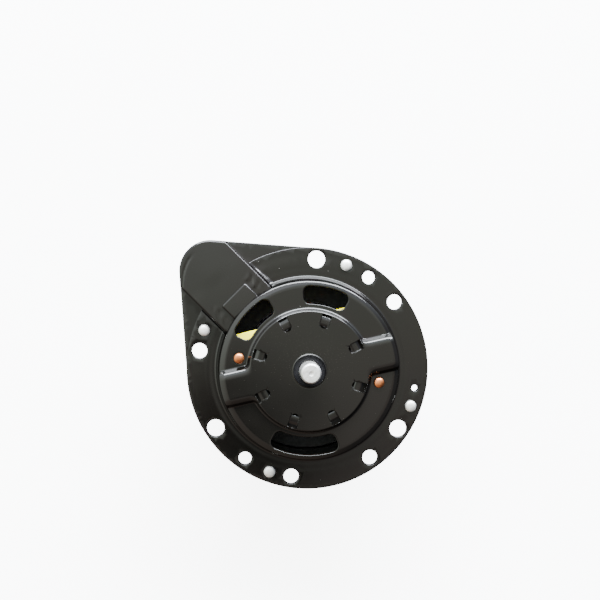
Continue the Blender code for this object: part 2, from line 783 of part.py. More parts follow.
def make_brush_gear(materials, root):
    low, high = BRUSH_Z
    inner, outer = HOLDER_R
    for number, angle in enumerate(BRUSH_ANGLES, 1):
        half = BRUSH_HALF + GAP + HOLDER_WALL
        turn = along(angle)
        shell = rectangle(inner, -half, outer, half)
        bottom = low - GAP - HOLDER_WALL
        name = f"brush_holder_{number}"
        holder = prism(name, shell, bottom, CARD_Z[0] - GAP, materials["brass"], root, turn)
        bm = bmesh.new()
        hollow = rectangle(inner - 2.0, -BRUSH_HALF - GAP, outer - HOLDER_WALL, BRUSH_HALF + GAP)
        add_prism(bm, hollow, low - GAP, high + GAP, turn)
        cut(holder, bm, "channel")
        contact = COMMUTATOR_R + GAP
        slide = empty(f"brush_slide_{number}", turn @ Matrix.Translation((contact * MM, 0.0, 0.0)), root)
        box = rectangle(0.0, -BRUSH_HALF, BRUSH_LENGTH, BRUSH_HALF)
        prism(f"brush_{number}", box, low, high, materials["carbon"], slide)
        make_brush_spring(number, angle, materials["steel"], root)


# ---------------------------------------------------------------- drive end and terminals

def make_drive_end(materials, root):
    face = END_PLATE_FACE
    back = face - END_PLATE_SHEET
    cup_r = BEARING_R + GAP
    spigot_r = CAN_R - CAN_WALL - GAP
    floor = FRONT_BEARING_Z - 1.0
    section = [
        (SHAFT_R + 1.2, floor - 1.2),
        (cup_r + 1.0, floor - 1.2),
        (cup_r + 1.7, floor - 0.5),
        (cup_r + 1.7, back),
        (CAN_R, back),
        (CAN_R, face),
        (spigot_r, face),
        (spigot_r, face + 4.0),
        (spigot_r - 3.0, face + 4.0),
        (spigot_r - 3.0, face),
        (cup_r, face),
        (cup_r, floor),
        (SHAFT_R + 1.2, floor),
    ]
    plate = turned("drive_end_plate", section, FINE, materials["cast"], root)
    bm = bmesh.new()
    for vent in range(END_VENTS):
        hole = circle(polar(END_VENT_CIRCLE_R, 360.0 * vent / END_VENTS), END_VENT_R, HOLE_SIDES)
        add_prism(bm, hole, back - 1.0, face + 1.0)
    for angle in END_SCREW_ANGLES:
        hole = circle((0.0, 0.0), END_SCREW_R + GAP, SMALL)
        add_prism(bm, hole, spigot_r - 5.0, spigot_r + 1.0, radial(angle, END_SCREW_Z))
    cut(plate, bm, "vents")
    tip = spigot_r - 2.4
    seat = CAN_R + GAP
    screw = [
        (0.0, tip),
        (END_SCREW_R, tip),
        (END_SCREW_R, seat),
        (END_SCREW_HEAD_R, seat),
        (END_SCREW_HEAD_R, seat + 1.0),
        (END_SCREW_HEAD_R - 0.8, seat + 1.7),
        (0.0, seat + 1.7),
    ]
    for number, angle in enumerate(END_SCREW_ANGLES, 1):
        turned(f"end_screw_{number}", screw, SMALL, materials["zinc"], root, radial(angle, END_SCREW_Z))


def make_terminals(materials, root):
    depth, width, height = SOCKET_SIZE
    inner = CAN_R + GAP
    low = SOCKET_BOTTOM
    turn = along(SOCKET_ANGLE)
    box = rectangle(inner, -width / 2, inner + depth, width / 2)
    socket = prism("terminal_socket", box, low, low + height, materials["nylon"], root, turn)
    wall = SOCKET_WALL
    bm = bmesh.new()
    pocket = rectangle(inner + wall, wall - width / 2, inner + depth - wall, width / 2 - wall)
    add_prism(bm, pocket, low - 1.0, low + height - 2.0, turn)
    cut(socket, bm, "pocket")
    thick, broad, long = BLADE_SIZE
    middle = inner + depth / 2
    bm = bmesh.new()
    long_half = broad / 2 + GAP
    short_half = thick / 2 + GAP
    for side in (-1, 1):
        centre = side * BLADE_OFFSET
        slit = rectangle(middle - long_half, centre - short_half, middle + long_half, centre + short_half)
        add_prism(bm, slit, low + height - 3.0, low + height + 1.0, turn)
    cut(socket, bm, "blade_slits")
    for number, side in enumerate((-1, 1), 1):
        centre = side * BLADE_OFFSET
        blade = rectangle(middle - broad / 2, centre - thick / 2, middle + broad / 2, centre + thick / 2)
        top = low + height + 0.6
        prism(f"terminal_blade_{number}", blade, top - long, top, materials["brass"], root, turn)


# ---------------------------------------------------------------- fan wheel

def blade_outline():
    """A strip that sweeps back as it goes out."""
    inner, outer = BLADE_R
    steps = 6
    sides = ([], [])
    for i in range(steps + 1):
        share = i / steps
        radius = inner + (outer - inner) * share
        angle = -BLADE_SWEEP * share**1.4
        for side, sign in zip(sides, (-0.5, 0.5)):
            lean = degrees(sign * BLADE_THICK / radius) * 1.15
            side.append(polar(radius, angle + lean))
    return sides[0] + list(reversed(sides[1]))


def make_fan_wheel(materials, rotor):
    back = WHEEL_TOP - WHEEL_SHEET
    section = tube_profile(HUB_R + GAP, WHEEL_R, back, WHEEL_TOP)
    wheel = turned("impeller_wheel", section, FINE, materials["cast"], rotor)
    bm = bmesh.new()
    for number in range(BLADE_COUNT):
        add_prism(bm, blade_outline(), BLADE_BOTTOM, back + 0.5, along(360.0 * number / BLADE_COUNT))
    join(wheel, bm, "blades")

    top = BLADE_BOTTOM - GAP
    shroud = [
        (EYE_R, top - 2.2),
        (EYE_R + 1.0, top - 2.2),
        (EYE_R + 1.8, top - 1.0),
        (WHEEL_R, top - 1.0),
        (WHEEL_R, top),
        (EYE_R + 1.0, top),
    ]
    turned("impeller_shroud", shroud, FINE, materials["cast"], rotor)

    flange_low = WHEEL_TOP + GAP
    hub = [
        (SHAFT_R + GAP, HUB_BOTTOM),
        (HUB_R - 0.5, HUB_BOTTOM),
        (HUB_R, HUB_BOTTOM + 0.5),
        (HUB_R, flange_low),
        (HUB_FLANGE_R, flange_low),
        (HUB_FLANGE_R, flange_low + 1.2),
        (SHAFT_R + GAP, flange_low + 1.2),
    ]
    made = turned("impeller_hub", hub, ROUND, materials["steel"], rotor)
    bm = bmesh.new()
    hole = circle((0.0, 0.0), SET_SCREW_R + GAP, SMALL)
    add_prism(bm, hole, SHAFT_R - 1.0, HUB_R + 1.0, radial(0.0, SET_SCREW_Z))
    cut(made, bm, "screw_hole")
    screw = turned(
        "hub_set_screw",
        rod_profile(SET_SCREW_R, SHAFT_R + GAP, HUB_R - 0.2, 0.3),
        SMALL,
        materials["zinc"],
        rotor,
        radial(0.0, SET_SCREW_Z),
    )
    bm = bmesh.new()
    add_prism(bm, circle((0.0, 0.0), 1.1, 6), HUB_R - 1.8, HUB_R + 1.0, radial(0.0, SET_SCREW_Z))
    cut(screw, bm, "hex_socket")


def main():
    for old in list(bpy.data.objects):
        bpy.data.objects.remove(old)
    materials = make_materials()
    root = empty("fan_frame")
    rotor = empty("rotor_axis", parent=root)
    make_mounting_plate(materials["black"], root)
    make_motor_flange(materials["black"], root)
    make_plate_rivets(materials["zinc"], root)
    make_motor_can(materials["black"], root)
    make_bearing("rear", REAR_BEARING_Z, materials["steel"], root, rotor)
    make_bearing("front", FRONT_BEARING_Z, materials["steel"], root, rotor)
    make_wave_washer(materials["steel"], root)
    make_shaft(materials["steel"], rotor)
    make_rotor(materials, rotor)
    make_field(materials, root)
    make_brush_card(materials, root)
    make_brush_gear(materials, root)
    make_drive_end(materials, root)
    make_terminals(materials, root)
    make_fan_wheel(materials, rotor)


main()
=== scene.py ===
"""Combustion fan: fine pressed-sheet surfaces, materials, floor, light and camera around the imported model.

Lengths are in millimetres in the model's own frame: the shaft's axis is Z, the plate's back is z = 0,
and the duct runs along +Y. Meshes are scaled to metres as they are made.
"""

import json
from math import acos, asin, atan2, cos, degrees, pi, radians, sin, sqrt

import bmesh
import bpy
import numpy as np
from mathutils import Matrix, Vector
from mathutils.geometry import delaunay_2d_cdt


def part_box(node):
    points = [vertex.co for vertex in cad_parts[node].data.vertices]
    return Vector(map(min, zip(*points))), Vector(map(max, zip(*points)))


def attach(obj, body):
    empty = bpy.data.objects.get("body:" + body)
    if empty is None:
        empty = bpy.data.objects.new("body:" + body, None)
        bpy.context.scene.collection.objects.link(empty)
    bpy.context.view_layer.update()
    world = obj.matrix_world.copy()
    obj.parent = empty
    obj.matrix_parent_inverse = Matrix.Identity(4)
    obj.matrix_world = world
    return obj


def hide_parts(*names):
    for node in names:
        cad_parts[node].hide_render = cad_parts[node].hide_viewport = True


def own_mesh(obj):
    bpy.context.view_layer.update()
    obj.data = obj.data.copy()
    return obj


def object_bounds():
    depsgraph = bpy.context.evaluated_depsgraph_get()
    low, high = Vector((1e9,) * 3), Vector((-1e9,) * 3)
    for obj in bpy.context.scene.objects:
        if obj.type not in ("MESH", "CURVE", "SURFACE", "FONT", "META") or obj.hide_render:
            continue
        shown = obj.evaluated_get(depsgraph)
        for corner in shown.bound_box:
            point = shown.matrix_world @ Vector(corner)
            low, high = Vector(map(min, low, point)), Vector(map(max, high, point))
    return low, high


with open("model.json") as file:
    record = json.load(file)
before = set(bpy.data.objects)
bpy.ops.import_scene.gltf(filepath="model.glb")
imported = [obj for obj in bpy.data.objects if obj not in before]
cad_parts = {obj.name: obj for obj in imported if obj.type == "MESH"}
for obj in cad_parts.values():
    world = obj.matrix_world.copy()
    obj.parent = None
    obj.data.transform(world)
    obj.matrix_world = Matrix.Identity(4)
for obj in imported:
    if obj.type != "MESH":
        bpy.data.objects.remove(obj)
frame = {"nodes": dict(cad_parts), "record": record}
cad_low, cad_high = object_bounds()

MM = 0.001
GAP = 0.3  # room round everything that stands in a hole


def reach(node):
    """The node's lowest and highest corner, in millimetres."""
    low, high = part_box(node)
    return np.array(low) / MM, np.array(high) / MM


def heights(node):
    """The node's lowest and highest z, in millimetres."""
    return tuple(corner[2] for corner in reach(node))


# Sizes that come from the frame
PLATE_R, TIP_Y, DUCT_TOP = reach("mounting_plate")[1]
FLANGE_BACK, COLLAR_TOP = heights("motor_flange")
CAN_END, DISC_TOP = heights("motor_can")
FLAP_R = reach("motor_can")[1][1]

# Plate and flange. Holes are (radius, angles round the shaft)
SHEET = 1.2
FLANGE_FACE = FLANGE_BACK + SHEET
CORNER_R = 12.8
CORNER_Y = TIP_Y - CORNER_R
CORNER_LEAN = degrees(acos((PLATE_R - CORNER_R) / CORNER_Y))
HOLE_CIRCLE_R = 45.25
HOLES = (
    (3.6, (40.4, -78.9, 167.8)),
    (3.15, (-7.7, -100.2, -143.8, 125.6)),
    (2.7, (11.1, -170.0)),
    (1.35, (-55.7,)),
)
RIVET_CIRCLE_R = 45.45
RIVET_ANGLES = (24.6, 114.6, 204.6, 294.6)
RIVET_SHANK_R = 1.5
RIVET_HEAD_R = 2.4
COLLAR_R = 36.75
DUCT_HALF = 13.2
DUCT_RIM = 0.3
GATE_HALF = DUCT_HALF + 0.15  # where the flange stops, right of the duct
GATE_LEFT = DUCT_HALF + 0.65  # and left of it

# Motor can
CAN_R = 36.3
CAN_WALL = 1.2
CAN_BORE_R = CAN_R - CAN_WALL
SECTOR_TOP = 13.2
DISC_R = 24.2
SPOKE_HALF = 6.5
SPOKE_ANGLE = -32.5
INNER_CORNER_R = 2.2
WELL_R = 6.45
SLOT_R = (26.8, 34.2)
SLOT_CORNER_R = 2.7
SLOT_ANGLES = ((75.0, 109.4), (15.6, 49.4), (-163.75, -113.5))
LOUVER_ANGLES = tuple(27.5 + 45.0 * number for number in range(8))
LOUVER_R = (17.9, 23.6)
LOUVER_HALF = 1.95
FLAP_HALF = 6.75
FLAP_Z = (9.3, 10.3)
WINDOW_Z = (3.0, 9.3)
CARD_RIVET_R = 28.6
CARD_RIVET_ANGLES = (125.0, -55.0)
CARD_BORE_R = 1.9
END_SCREW_ANGLES = (33.0, 153.0, 273.0)
END_SCREW_Z = -34.3
END_BORE_R = 1.6
BORE_TWIST = 0.37  # so that no edge of a cutter meets an edge of the can's wall
SHAFT_R = 4.0

BODY_OF = {node: body for body, nodes in frame["record"]["behaviour"]["bodies"].items() for node in nodes}
SLOT_OF = {row["node"]: row["material_slot"] for row in frame["record"]["subparts"]}


# ---------------------------------------------------------------- materials

def add_node(tree, kind, inputs, **values):
    """A new node. Each input is set, or linked where its value is another node's socket."""
    made = tree.nodes.new("ShaderNode" + kind)
    for key, value in values.items():
        setattr(made, key, value)
    for key, value in inputs.items():
        if isinstance(value, bpy.types.NodeSocket):
            tree.links.new(value, made.inputs[key])
        else:
            made.inputs[key].default_value = value
    return made


class Shading:
    """A material's node tree, with the object's own coordinates at hand."""

    def __init__(self, name):
        self.material = bpy.data.materials.new(name)
        self.material.use_nodes = True
        self.tree = self.material.node_tree
        self.shader = self.tree.nodes["Principled BSDF"]
        self.place = self.add("TexCoord", {}).outputs["Object"]

    def add(self, kind, inputs, **values):
        return add_node(self.tree, kind, inputs, **values)

    def feed(self, key, value):
        self.tree.links.new(value, self.shader.inputs[key])

    def math(self, first, operation, second):
        return self.add("Math", {0: first, 1: second}, operation=operation).outputs[0]

    def noise(self, scale, detail=3.0, factors=None):
        """Clouds, whose coordinates are multiplied by the factors."""
        place = self.place
        if factors:
            place = self.add("VectorMath", {0: place, 1: factors}, operation="MULTIPLY").outputs[0]
        inputs = {"Vector": place, "Scale": scale, "Detail": detail}
        return self.add("TexNoise", inputs).outputs["Fac"]

    def waves(self, scale, kind, distortion):
        """Rings round Z, or bands along it."""
        inputs = {"Vector": self.place, "Scale": scale, "Distortion": distortion, "Detail Scale": 2.0}
        made = self.add("TexWave", inputs, wave_type=kind, bands_direction="Z", rings_direction="Z")
        return made.outputs["Fac"]

    def specks(self, scale, size, share):
        """1 in small dots, in a share of the cells."""
        cells = self.add("TexVoronoi", {"Vector": self.place, "Scale": scale}).outputs
        near = self.math(cells["Distance"], "LESS_THAN", size)
        number = self.add("SeparateColor", {0: cells["Color"]}).outputs[0]
        return self.math(near, "MULTIPLY", self.math(number, "LESS_THAN", share))

    def spread(self, value, low, high):
        """Maps the pattern's middle range, 0.3 to 0.7, to low..high."""
        inputs = {"Value": value, "From Min": 0.3, "From Max": 0.7, "To Min": low, "To Max": high}
        return self.add("MapRange", inputs).outputs["Result"]

    def mix(self, share, *tones):
        """Between two tones, each a colour or a socket."""
        first, second = [(*tone, 1.0) if isinstance(tone, tuple) else tone for tone in tones]
        return self.add("Mix", {0: share, 6: first, 7: second}, data_type="RGBA").outputs[2]

    def relief(self, height, strength, depth):
        """Stacks one more bump on the shader's normal, its depth in millimetres."""
        inputs = {"Strength": strength, "Distance": depth * MM, "Height": height}
        normal = self.shader.inputs["Normal"]
        if normal.is_linked:
            inputs["Normal"] = normal.links[0].from_socket
        self.feed("Normal", self.add("Bump", inputs).outputs["Normal"])


def enamel(name):
    """Gloss black stoving enamel with orange peel, dust and a few hairline scratches."""
    made = Shading(name)
    tint = made.mix(made.noise(22.0, 2.0), (0.0020, 0.0021, 0.0018), (0.0034, 0.0026, 0.0021))
    dust = made.specks(scale=240.0, size=0.040, share=0.05)
    lint = made.specks(scale=640.0, size=0.06, share=0.02)
    hair = made.noise(52.0, 1.0, factors=(1.0, 8.0, 1.0))
    off_middle = made.math(made.math(hair, "SUBTRACT", 0.5), "ABSOLUTE", 0.0)
    place = made.math(made.noise(31.0), "GREATER_THAN", 0.745)
    scratch = made.math(made.math(off_middle, "LESS_THAN", 0.0010), "MULTIPLY", place)
    marked = made.math(made.math(dust, "MAXIMUM", lint), "MAXIMUM", scratch)
    made.feed("Base Color", made.mix(made.math(marked, "MULTIPLY", 0.30), tint, (0.42, 0.41, 0.38)))
    smooth = made.spread(made.noise(90.0, 4.0), 0.075, 0.125)
    made.feed("Roughness", made.math(smooth, "ADD", made.math(marked, "MULTIPLY", 0.3)))
    made.shader.inputs["Specular IOR Level"].default_value = 0.50
    made.relief(made.noise(45.0, 2.0), 0.20, 0.07)
    made.relief(made.noise(420.0, 2.0), 0.22, 0.010)
    made.relief(made.noise(2600.0, 2.0), 0.16, 0.0030)
    made.relief(marked, 0.20, 0.02)
    return made.material


def metal(name, light, dark, roughness, grain, relief, pattern):
    """Bare metal: two tones mottled by grain, and the pattern of its making."""
    made = Shading(name)
    mottle = made.noise(grain, 4.0)
    made.feed("Base Color", made.mix(made.spread(mottle, 0.0, 1.0), light, dark))
    made.shader.inputs["Metallic"].default_value = 1.0
    made.feed("Roughness", made.spread(made.noise(grain * 2.3, 3.0), roughness[0], roughness[1]))
    made.relief(made.noise(grain * 6.0, 3.0), relief[0], relief[1])
    if pattern == "turned":
        made.relief(made.waves(1500.0, "RINGS", 1.5), 0.35, 0.006)
        made.relief(made.waves(900.0, "BANDS", 1.0), 0.15, 0.004)
    if pattern == "layers":
        made.relief(made.waves(320.0, "BANDS", 0.4), 0.8, 0.08)
    if pattern == "wire":
        made.relief(made.waves(520.0, "RINGS", 3.0), 0.9, 0.16)
    return made.material


def moulded(name, light, dark, roughness, grain, relief, gloss=0.5, factors=None):
    """Plastic, ceramic, carbon or paper board, whose fibres stretch the grain by the factors."""
    made = Shading(name)
    mottle = made.noise(grain, 4.0, factors)
    made.feed("Base Color", made.mix(made.spread(mottle, 0.0, 1.0), light, dark))
    made.feed("Roughness", made.spread(made.noise(grain * 1.7, 3.0), roughness[0], roughness[1]))
    made.relief(made.noise(grain * 5.0, 3.0, factors), relief[0], relief[1])
    made.shader.inputs["Specular IOR Level"].default_value = gloss
    return made.material


# Two tones, range of roughness, grain, relief as (strength, depth), and the pattern
METALS = {
    "bright_steel": ((0.96, 0.96, 0.94), (0.84, 0.83, 0.81), (0.36, 0.48), 300.0, (0.10, 0.01), "turned"),
    "zinc_plate": ((0.96, 0.95, 0.91), (0.84, 0.83, 0.79), (0.46, 0.58), 500.0, (0.30, 0.03), None),
    "copper": ((0.78, 0.29, 0.11), (0.46, 0.15, 0.06), (0.24, 0.36), 380.0, (0.25, 0.02), None),
    "enamelled_wire": ((0.50, 0.17, 0.06), (0.30, 0.09, 0.03), (0.25, 0.40), 240.0, (0.2, 0.02), "wire"),
    "lamination_steel": ((0.27, 0.27, 0.28), (0.15, 0.15, 0.155), (0.40, 0.60), 260.0, (0.3, 0.02), "layers"),
    "brass": ((0.78, 0.58, 0.27), (0.58, 0.40, 0.17), (0.25, 0.42), 300.0, (0.2, 0.015), None),
    "cast_aluminium": ((0.66, 0.67, 0.68), (0.47, 0.48, 0.49), (0.36, 0.55), 340.0, (0.45, 0.03), None),
}
# The same, ending with the gloss and the fibres' factors where they aren't the usual ones
MOULDINGS = {
    "ferrite": ((0.022, 0.022, 0.023), (0.012, 0.012, 0.013), (0.60, 0.75), 420.0, (0.35, 0.03)),
    "yellow_card": ((0.94, 0.84, 0.015), (0.86, 0.74, 0.01), (0.5, 0.68), 260.0, (0.3, 0.02), 0.5, (1, 5, 1)),
    "brush_carbon": ((0.060, 0.056, 0.052), (0.032, 0.031, 0.030), (0.45, 0.65), 700.0, (0.4, 0.02)),
    "black_nylon": ((0.006, 0.006, 0.007), (0.003, 0.003, 0.004), (0.50, 0.62), 500.0, (0.35, 0.015), 0.12),
    "insulating_sleeve": ((0.10, 0.15, 0.11), (0.05, 0.08, 0.06), (0.30, 0.45), 380.0, (0.3, 0.02)),
}
MATERIALS = {"black_enamel": enamel("black_enamel")}
MATERIALS |= {name: metal(name, *look) for name, look in METALS.items()}
MATERIALS |= {name: moulded(name, *look) for name, look in MOULDINGS.items()}


# ---------------------------------------------------------------- outlines

def polar(radius, angle):
    return radius * cos(radians(angle)), radius * sin(radians(angle))


def arc(centre, radius, start, end, steps):
    """Points from angle start to angle end, both included, in degrees."""
    turns = np.radians(np.linspace(start, end, steps + 1))
    return [(centre[0] + radius * cos(a), centre[1] + radius * sin(a)) for a in turns]


def circle(centre, radius, steps):
    return arc(centre, radius, 0.0, 360.0, steps)[:-1]


def round_axis(radius, steps):
    return np.array(circle((0, 0), radius, steps))


def rectangle(x0, y0, x1, y1):
    return [(x0, y0), (x1, y0), (x1, y1), (x0, y1)]


def rounded(x0, y0, x1, y1, radius, steps=6):
    """A rectangle with round corners."""
    left, right = x0 + radius, x1 - radius
    near, far = y0 + radius, y1 - radius
    corners = ((right, near, -90.0), (right, far, 0.0), (left, far, 90.0), (left, near, 180.0))
    return [p for x, y, start in corners for p in arc((x, y), radius, start, start + 90.0, steps)]


def turned_axes(flat, angle):
    """The points' coordinates along axes that are turned round the shaft."""
    turn = radians(angle)
    return flat[:, 0] * cos(turn) + flat[:, 1] * sin(turn), flat[:, 1] * cos(turn) - flat[:, 0] * sin(turn)


def from_axes(local, angle):
    """Flat points given along such axes, back in the model's own."""
    turn = radians(angle)
    return local @ np.array([(cos(turn), sin(turn)), (-sin(turn), cos(turn))])


def even(points, pitch):
    """The closed outline with points about a pitch apart, keeping its corners."""
    made = []
    loop = np.asarray(points, float)
    for here, after in zip(loop, np.roll(loop, -1, axis=0)):
        steps = max(1, round(float(np.linalg.norm(after - here)) / pitch))
        made += [here + (after - here) * i / steps for i in range(steps)]
    return np.array(made)


def area(loop):
    x, y = np.asarray(loop).T
    return 0.5 * float(np.sum(x * np.roll(y, -1) - y * np.roll(x, -1)))


def wound(loop, sense):
    """The outline, running anticlockwise for sense 1 and clockwise for -1."""
    loop = np.asarray(loop, float)
    return loop if area(loop) * sense > 0 else loop[::-1]


def right_hand(loop):
    """Unit normals to the right of the direction of travel, lengthened at corners."""
    loop = np.asarray(loop, float)
    ahead = np.roll(loop, -1, axis=0) - loop
    ahead /= np.linalg.norm(ahead, axis=1)[:, None]
    behind = np.roll(ahead, 1, axis=0)
    middle = ahead + behind
    middle /= np.linalg.norm(middle, axis=1)[:, None]
    stretch = 1.0 / np.maximum(0.5, (middle * ahead).sum(1))
    return np.stack([middle[:, 1], -middle[:, 0]], 1) * stretch[:, None]


def grown(loop, distance):
    """An anticlockwise outline moved outward."""
    return np.asarray(loop) + right_hand(loop) * distance


def kidney(radii, angles, corner):
    """A slot that bends round the axis, with rounded corners."""
    inner, outer = radii
    start, end = angles
    lean_in = degrees(asin(corner / (inner + corner)))
    lean_out = degrees(asin(corner / (outer - corner)))
    steps = round((end - start) / 1.2)
    bends = 9
    points = arc((0, 0), inner, end - lean_in, start + lean_in, steps)
    near = polar(inner + corner, start + lean_in)
    points += arc(near, corner, start + lean_in + 180.0, start + 270.0, bends)[1:]
    far = polar(outer - corner, start + lean_out)
    points += arc(far, corner, start + 270.0, start + lean_out + 360.0, bends)
    points += arc((0, 0), outer, start + lean_out, end - lean_out, steps)[1:]
    far = polar(outer - corner, end - lean_out)
    points += arc(far, corner, end - lean_out, end + 90.0, bends)[1:]
    near = polar(inner + corner, end - lean_in)
    points += arc(near, corner, end + 90.0, end - lean_in + 180.0, bends)[:-1]
    return np.array(points)


def smooth(values, start, end):
    """An eased step from 0 at the start to 1 at the end."""
    share = np.clip((np.asarray(values, float) - start) / (end - start), 0.0, 1.0)
    return share * share * (3.0 - 2.0 * share)


def round_off(inset, radius):
    """How far a round edge has dropped at a distance inside it."""
    lip = np.clip(radius - inset, 0.0, radius)
    return radius - np.sqrt(np.maximum(0.0, radius**2 - lip**2))


def pressed(inset, low, high, shoulder, foot, draft):
    """Height across a pressed wall. Inset is the distance inside the wall's top edge.

    The shoulder is a quarter of an ellipse, given as (width, drop). The foot is a fillet's radius,
    and the draft is how far the wall leans out."""
    inset = np.asarray(inset, float)
    width, fall = shoulder
    share = np.clip(1.0 - inset / width, 0.0, 1.0)
    drop = fall * (1.0 - np.sqrt(1.0 - share**2))
    rise = foot - np.sqrt(np.maximum(0.0, foot**2 - np.clip(inset + draft + foot, 0.0, foot) ** 2))
    wall = low + foot + (high - fall - low - foot) * (inset + draft) / draft
    return np.where(inset >= 0.0, high - drop, np.where(inset <= -draft, low + rise, wall))


# ---------------------------------------------------------------- meshes

# A solid is (points in millimetres, faces as lists of point numbers)
SHARP_ANGLE = 40.0
POINT_GAP = 0.04
EDGE_GAP = 0.16
HEX_ROW = 0.866
EDGE_BENDS = 3


def shaded(mesh):
    mesh.shade_smooth()
    mesh.set_sharp_from_angle(angle=radians(SHARP_ANGLE))


def add_object(name, solid, material):
    points, faces = solid
    bm = bmesh.new()
    verts = [bm.verts.new(p) for p in (np.asarray(points, float) * MM).tolist()]
    for face in faces:
        corners = list(dict.fromkeys(face))
        if len(corners) > 2:
            bm.faces.new([verts[i] for i in corners])
    bmesh.ops.remove_doubles(bm, verts=bm.verts, dist=1e-7)
    bmesh.ops.recalc_face_normals(bm, faces=bm.faces)
    mesh = bpy.data.meshes.new(name)
    bm.to_mesh(mesh)
    bm.free()
    shaded(mesh)
    mesh.materials.append(material)
    made = bpy.data.objects.new(name, mesh)
    bpy.context.scene.collection.objects.link(made)
    return made


def stand_in(piece, node):
    """The piece rides with the node's body and is shown in its place."""
    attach(piece, BODY_OF[node])
    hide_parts(node)


def finish_of(node):
    return MATERIALS[SLOT_OF[node]]


def moved(points, at):
    """Points in millimetres through a matrix whose own lengths are millimetres."""
    turn = np.array(at, float)
    return np.asarray(points, float) @ turn[:3, :3].T + turn[:3, 3]


def placed(solid, at):
    return moved(solid[0], at), solid[1]


def along(angle, height=0.0):
    """The model's frame, raised and turned so that X points at the angle."""
    return Matrix.Translation((0.0, 0.0, height)) @ Matrix.Rotation(radians(angle), 4, "Z")


def radial(angle, height):
    """A frame whose Z points away from the shaft."""
    return along(angle, height) @ Matrix.Rotation(radians(90.0), 4, "Y")


def shift(x, y):
    return Matrix.Translation((x, y, 0.0))


def inside(points, loop):
    """Which points lie in the closed outline."""
    x, y = points.T
    found = np.zeros(len(points), bool)
    for (x0, y0), (x1, y1) in zip(loop, np.roll(loop, -1, axis=0)):
        if y0 == y1:
            continue
        crosses = (y0 > y) != (y1 > y)
        found ^= crosses & (x < (x1 - x0) * (y - y0) / (y1 - y0) + x0)
    return found


def clear_of(points, loops, margin):
    """Drops the points that lie outside the sheet or too near its edges."""
    keep = inside(points, loops[0])
    for loop in loops[1:]:
        keep &= ~inside(points, loop)
    points = points[keep]
    rims = np.vstack(loops)
    parts = np.array_split(points, len(points) // 400 + 1)  # a few hundred at a time, to save memory
    gaps = np.concatenate([np.sqrt(((part[:, None] - rims[None]) ** 2).sum(2).min(1)) for part in parts])
    return points[gaps > margin]


def spaced(points, pitch):
    """Drops points that nearly coincide with an earlier one."""
    _, first = np.unique(np.round(points / pitch).astype(int), axis=0, return_index=True)
    return points[np.sort(first)]


def hexes(low, high, pitch):
    """A triangular grid over a rectangle."""
    rows = np.arange(low[1], high[1], pitch * HEX_ROW)
    across = np.arange(low[0], high[0], pitch)
    return np.array([(x + (i % 2) * pitch / 2, y) for i, y in enumerate(rows) for x in across])


def triangulated(loops, points):
    """Triangles between the outlines: (flat points, faces, the outlines as point numbers)."""
    every = np.vstack([*loops, points])
    edges, rims, start = [], [], 0
    for loop in loops:
        count = len(loop)
        edges += [(start + i, start + (i + 1) % count) for i in range(count)]
        rims.append(range(start, start + count))
        start += count
    verts, _, faces, sources, _, _ = delaunay_2d_cdt([Vector(p) for p in every.tolist()], edges, [], 0, 1e-5)
    number = {old: new for new, olds in enumerate(sources) for old in olds}
    flat = np.array([v[:] for v in verts])
    faces = np.array(faces)
    middles = flat[faces].mean(1)
    keep = inside(middles, loops[0])
    for loop in loops[1:]:
        keep &= ~inside(middles, loop)
    return flat, faces[keep].tolist(), [[number[i] for i in rim] for rim in rims]


def edge_rings(top, under, outward, radius):
    """Rings that carry a sheet's cut edge from its face to its back, with rounded corners."""
    across = top - under
    across /= np.linalg.norm(across, axis=1)[:, None]
    turns = [radians(90.0 * i / EDGE_BENDS) for i in range(1, EDGE_BENDS + 1)]
    upper = [top + outward * radius * sin(a) - across * radius * (1 - cos(a)) for a in turns]
    lower = [under + outward * radius * sin(a) + across * radius * (1 - cos(a)) for a in reversed(turns)]
    return upper + lower


def band(here, after):
    """Quads between two closed rings of point numbers."""
    count = len(here)
    return [[here[i], here[(i + 1) % count], after[(i + 1) % count], after[i]] for i in range(count)]


def sheet(name, node, outlines, points, face_z, back, edge=0.25, skirt=None):
    """A closed pressed sheet. The first outline is its outer edge and the others are holes.

    face_z gives the face's height over flat points, and back the matching points of its back.
    With a skirt, a list of (radius, height), the outer edge carries on down a round wall instead."""
    loops = [wound(outlines[0], 1)] + [wound(loop, -1) for loop in outlines[1:]]
    insets = [loop if skirt and i == 0 else grown(loop, -edge) for i, loop in enumerate(loops)]
    points = clear_of(spaced(points, POINT_GAP), insets, EDGE_GAP)
    flat, faces, rims = triangulated(insets, points)
    count = len(flat)
    top = np.column_stack([flat, face_z(flat)])
    under = back(flat)
    layers = [top, under]
    total = 2 * count
    every = list(faces) + [[i + count for i in reversed(face)] for face in faces]
    for number, rim in enumerate(rims):
        if skirt and number == 0:
            turns = np.arctan2(flat[rim, 1], flat[rim, 0])
            across, along_y = np.cos(turns), np.sin(turns)
            rings = [np.column_stack([r * across, r * along_y, np.full(len(rim), z)]) for r, z in skirt]
        else:
            outward = np.column_stack([right_hand(flat[rim]), np.zeros(len(rim))])
            rings = edge_rings(top[rim], under[rim], outward, edge)
        layers += rings
        chain = [rim]
        for _ in rings:
            chain.append(range(total, total + len(rim)))
            total += len(rim)
        chain.append([i + count for i in rim])
        for here, after in zip(chain, chain[1:]):
            every += band(here, after)
    return add_object(name, (np.vstack(layers), every), finish_of(node))


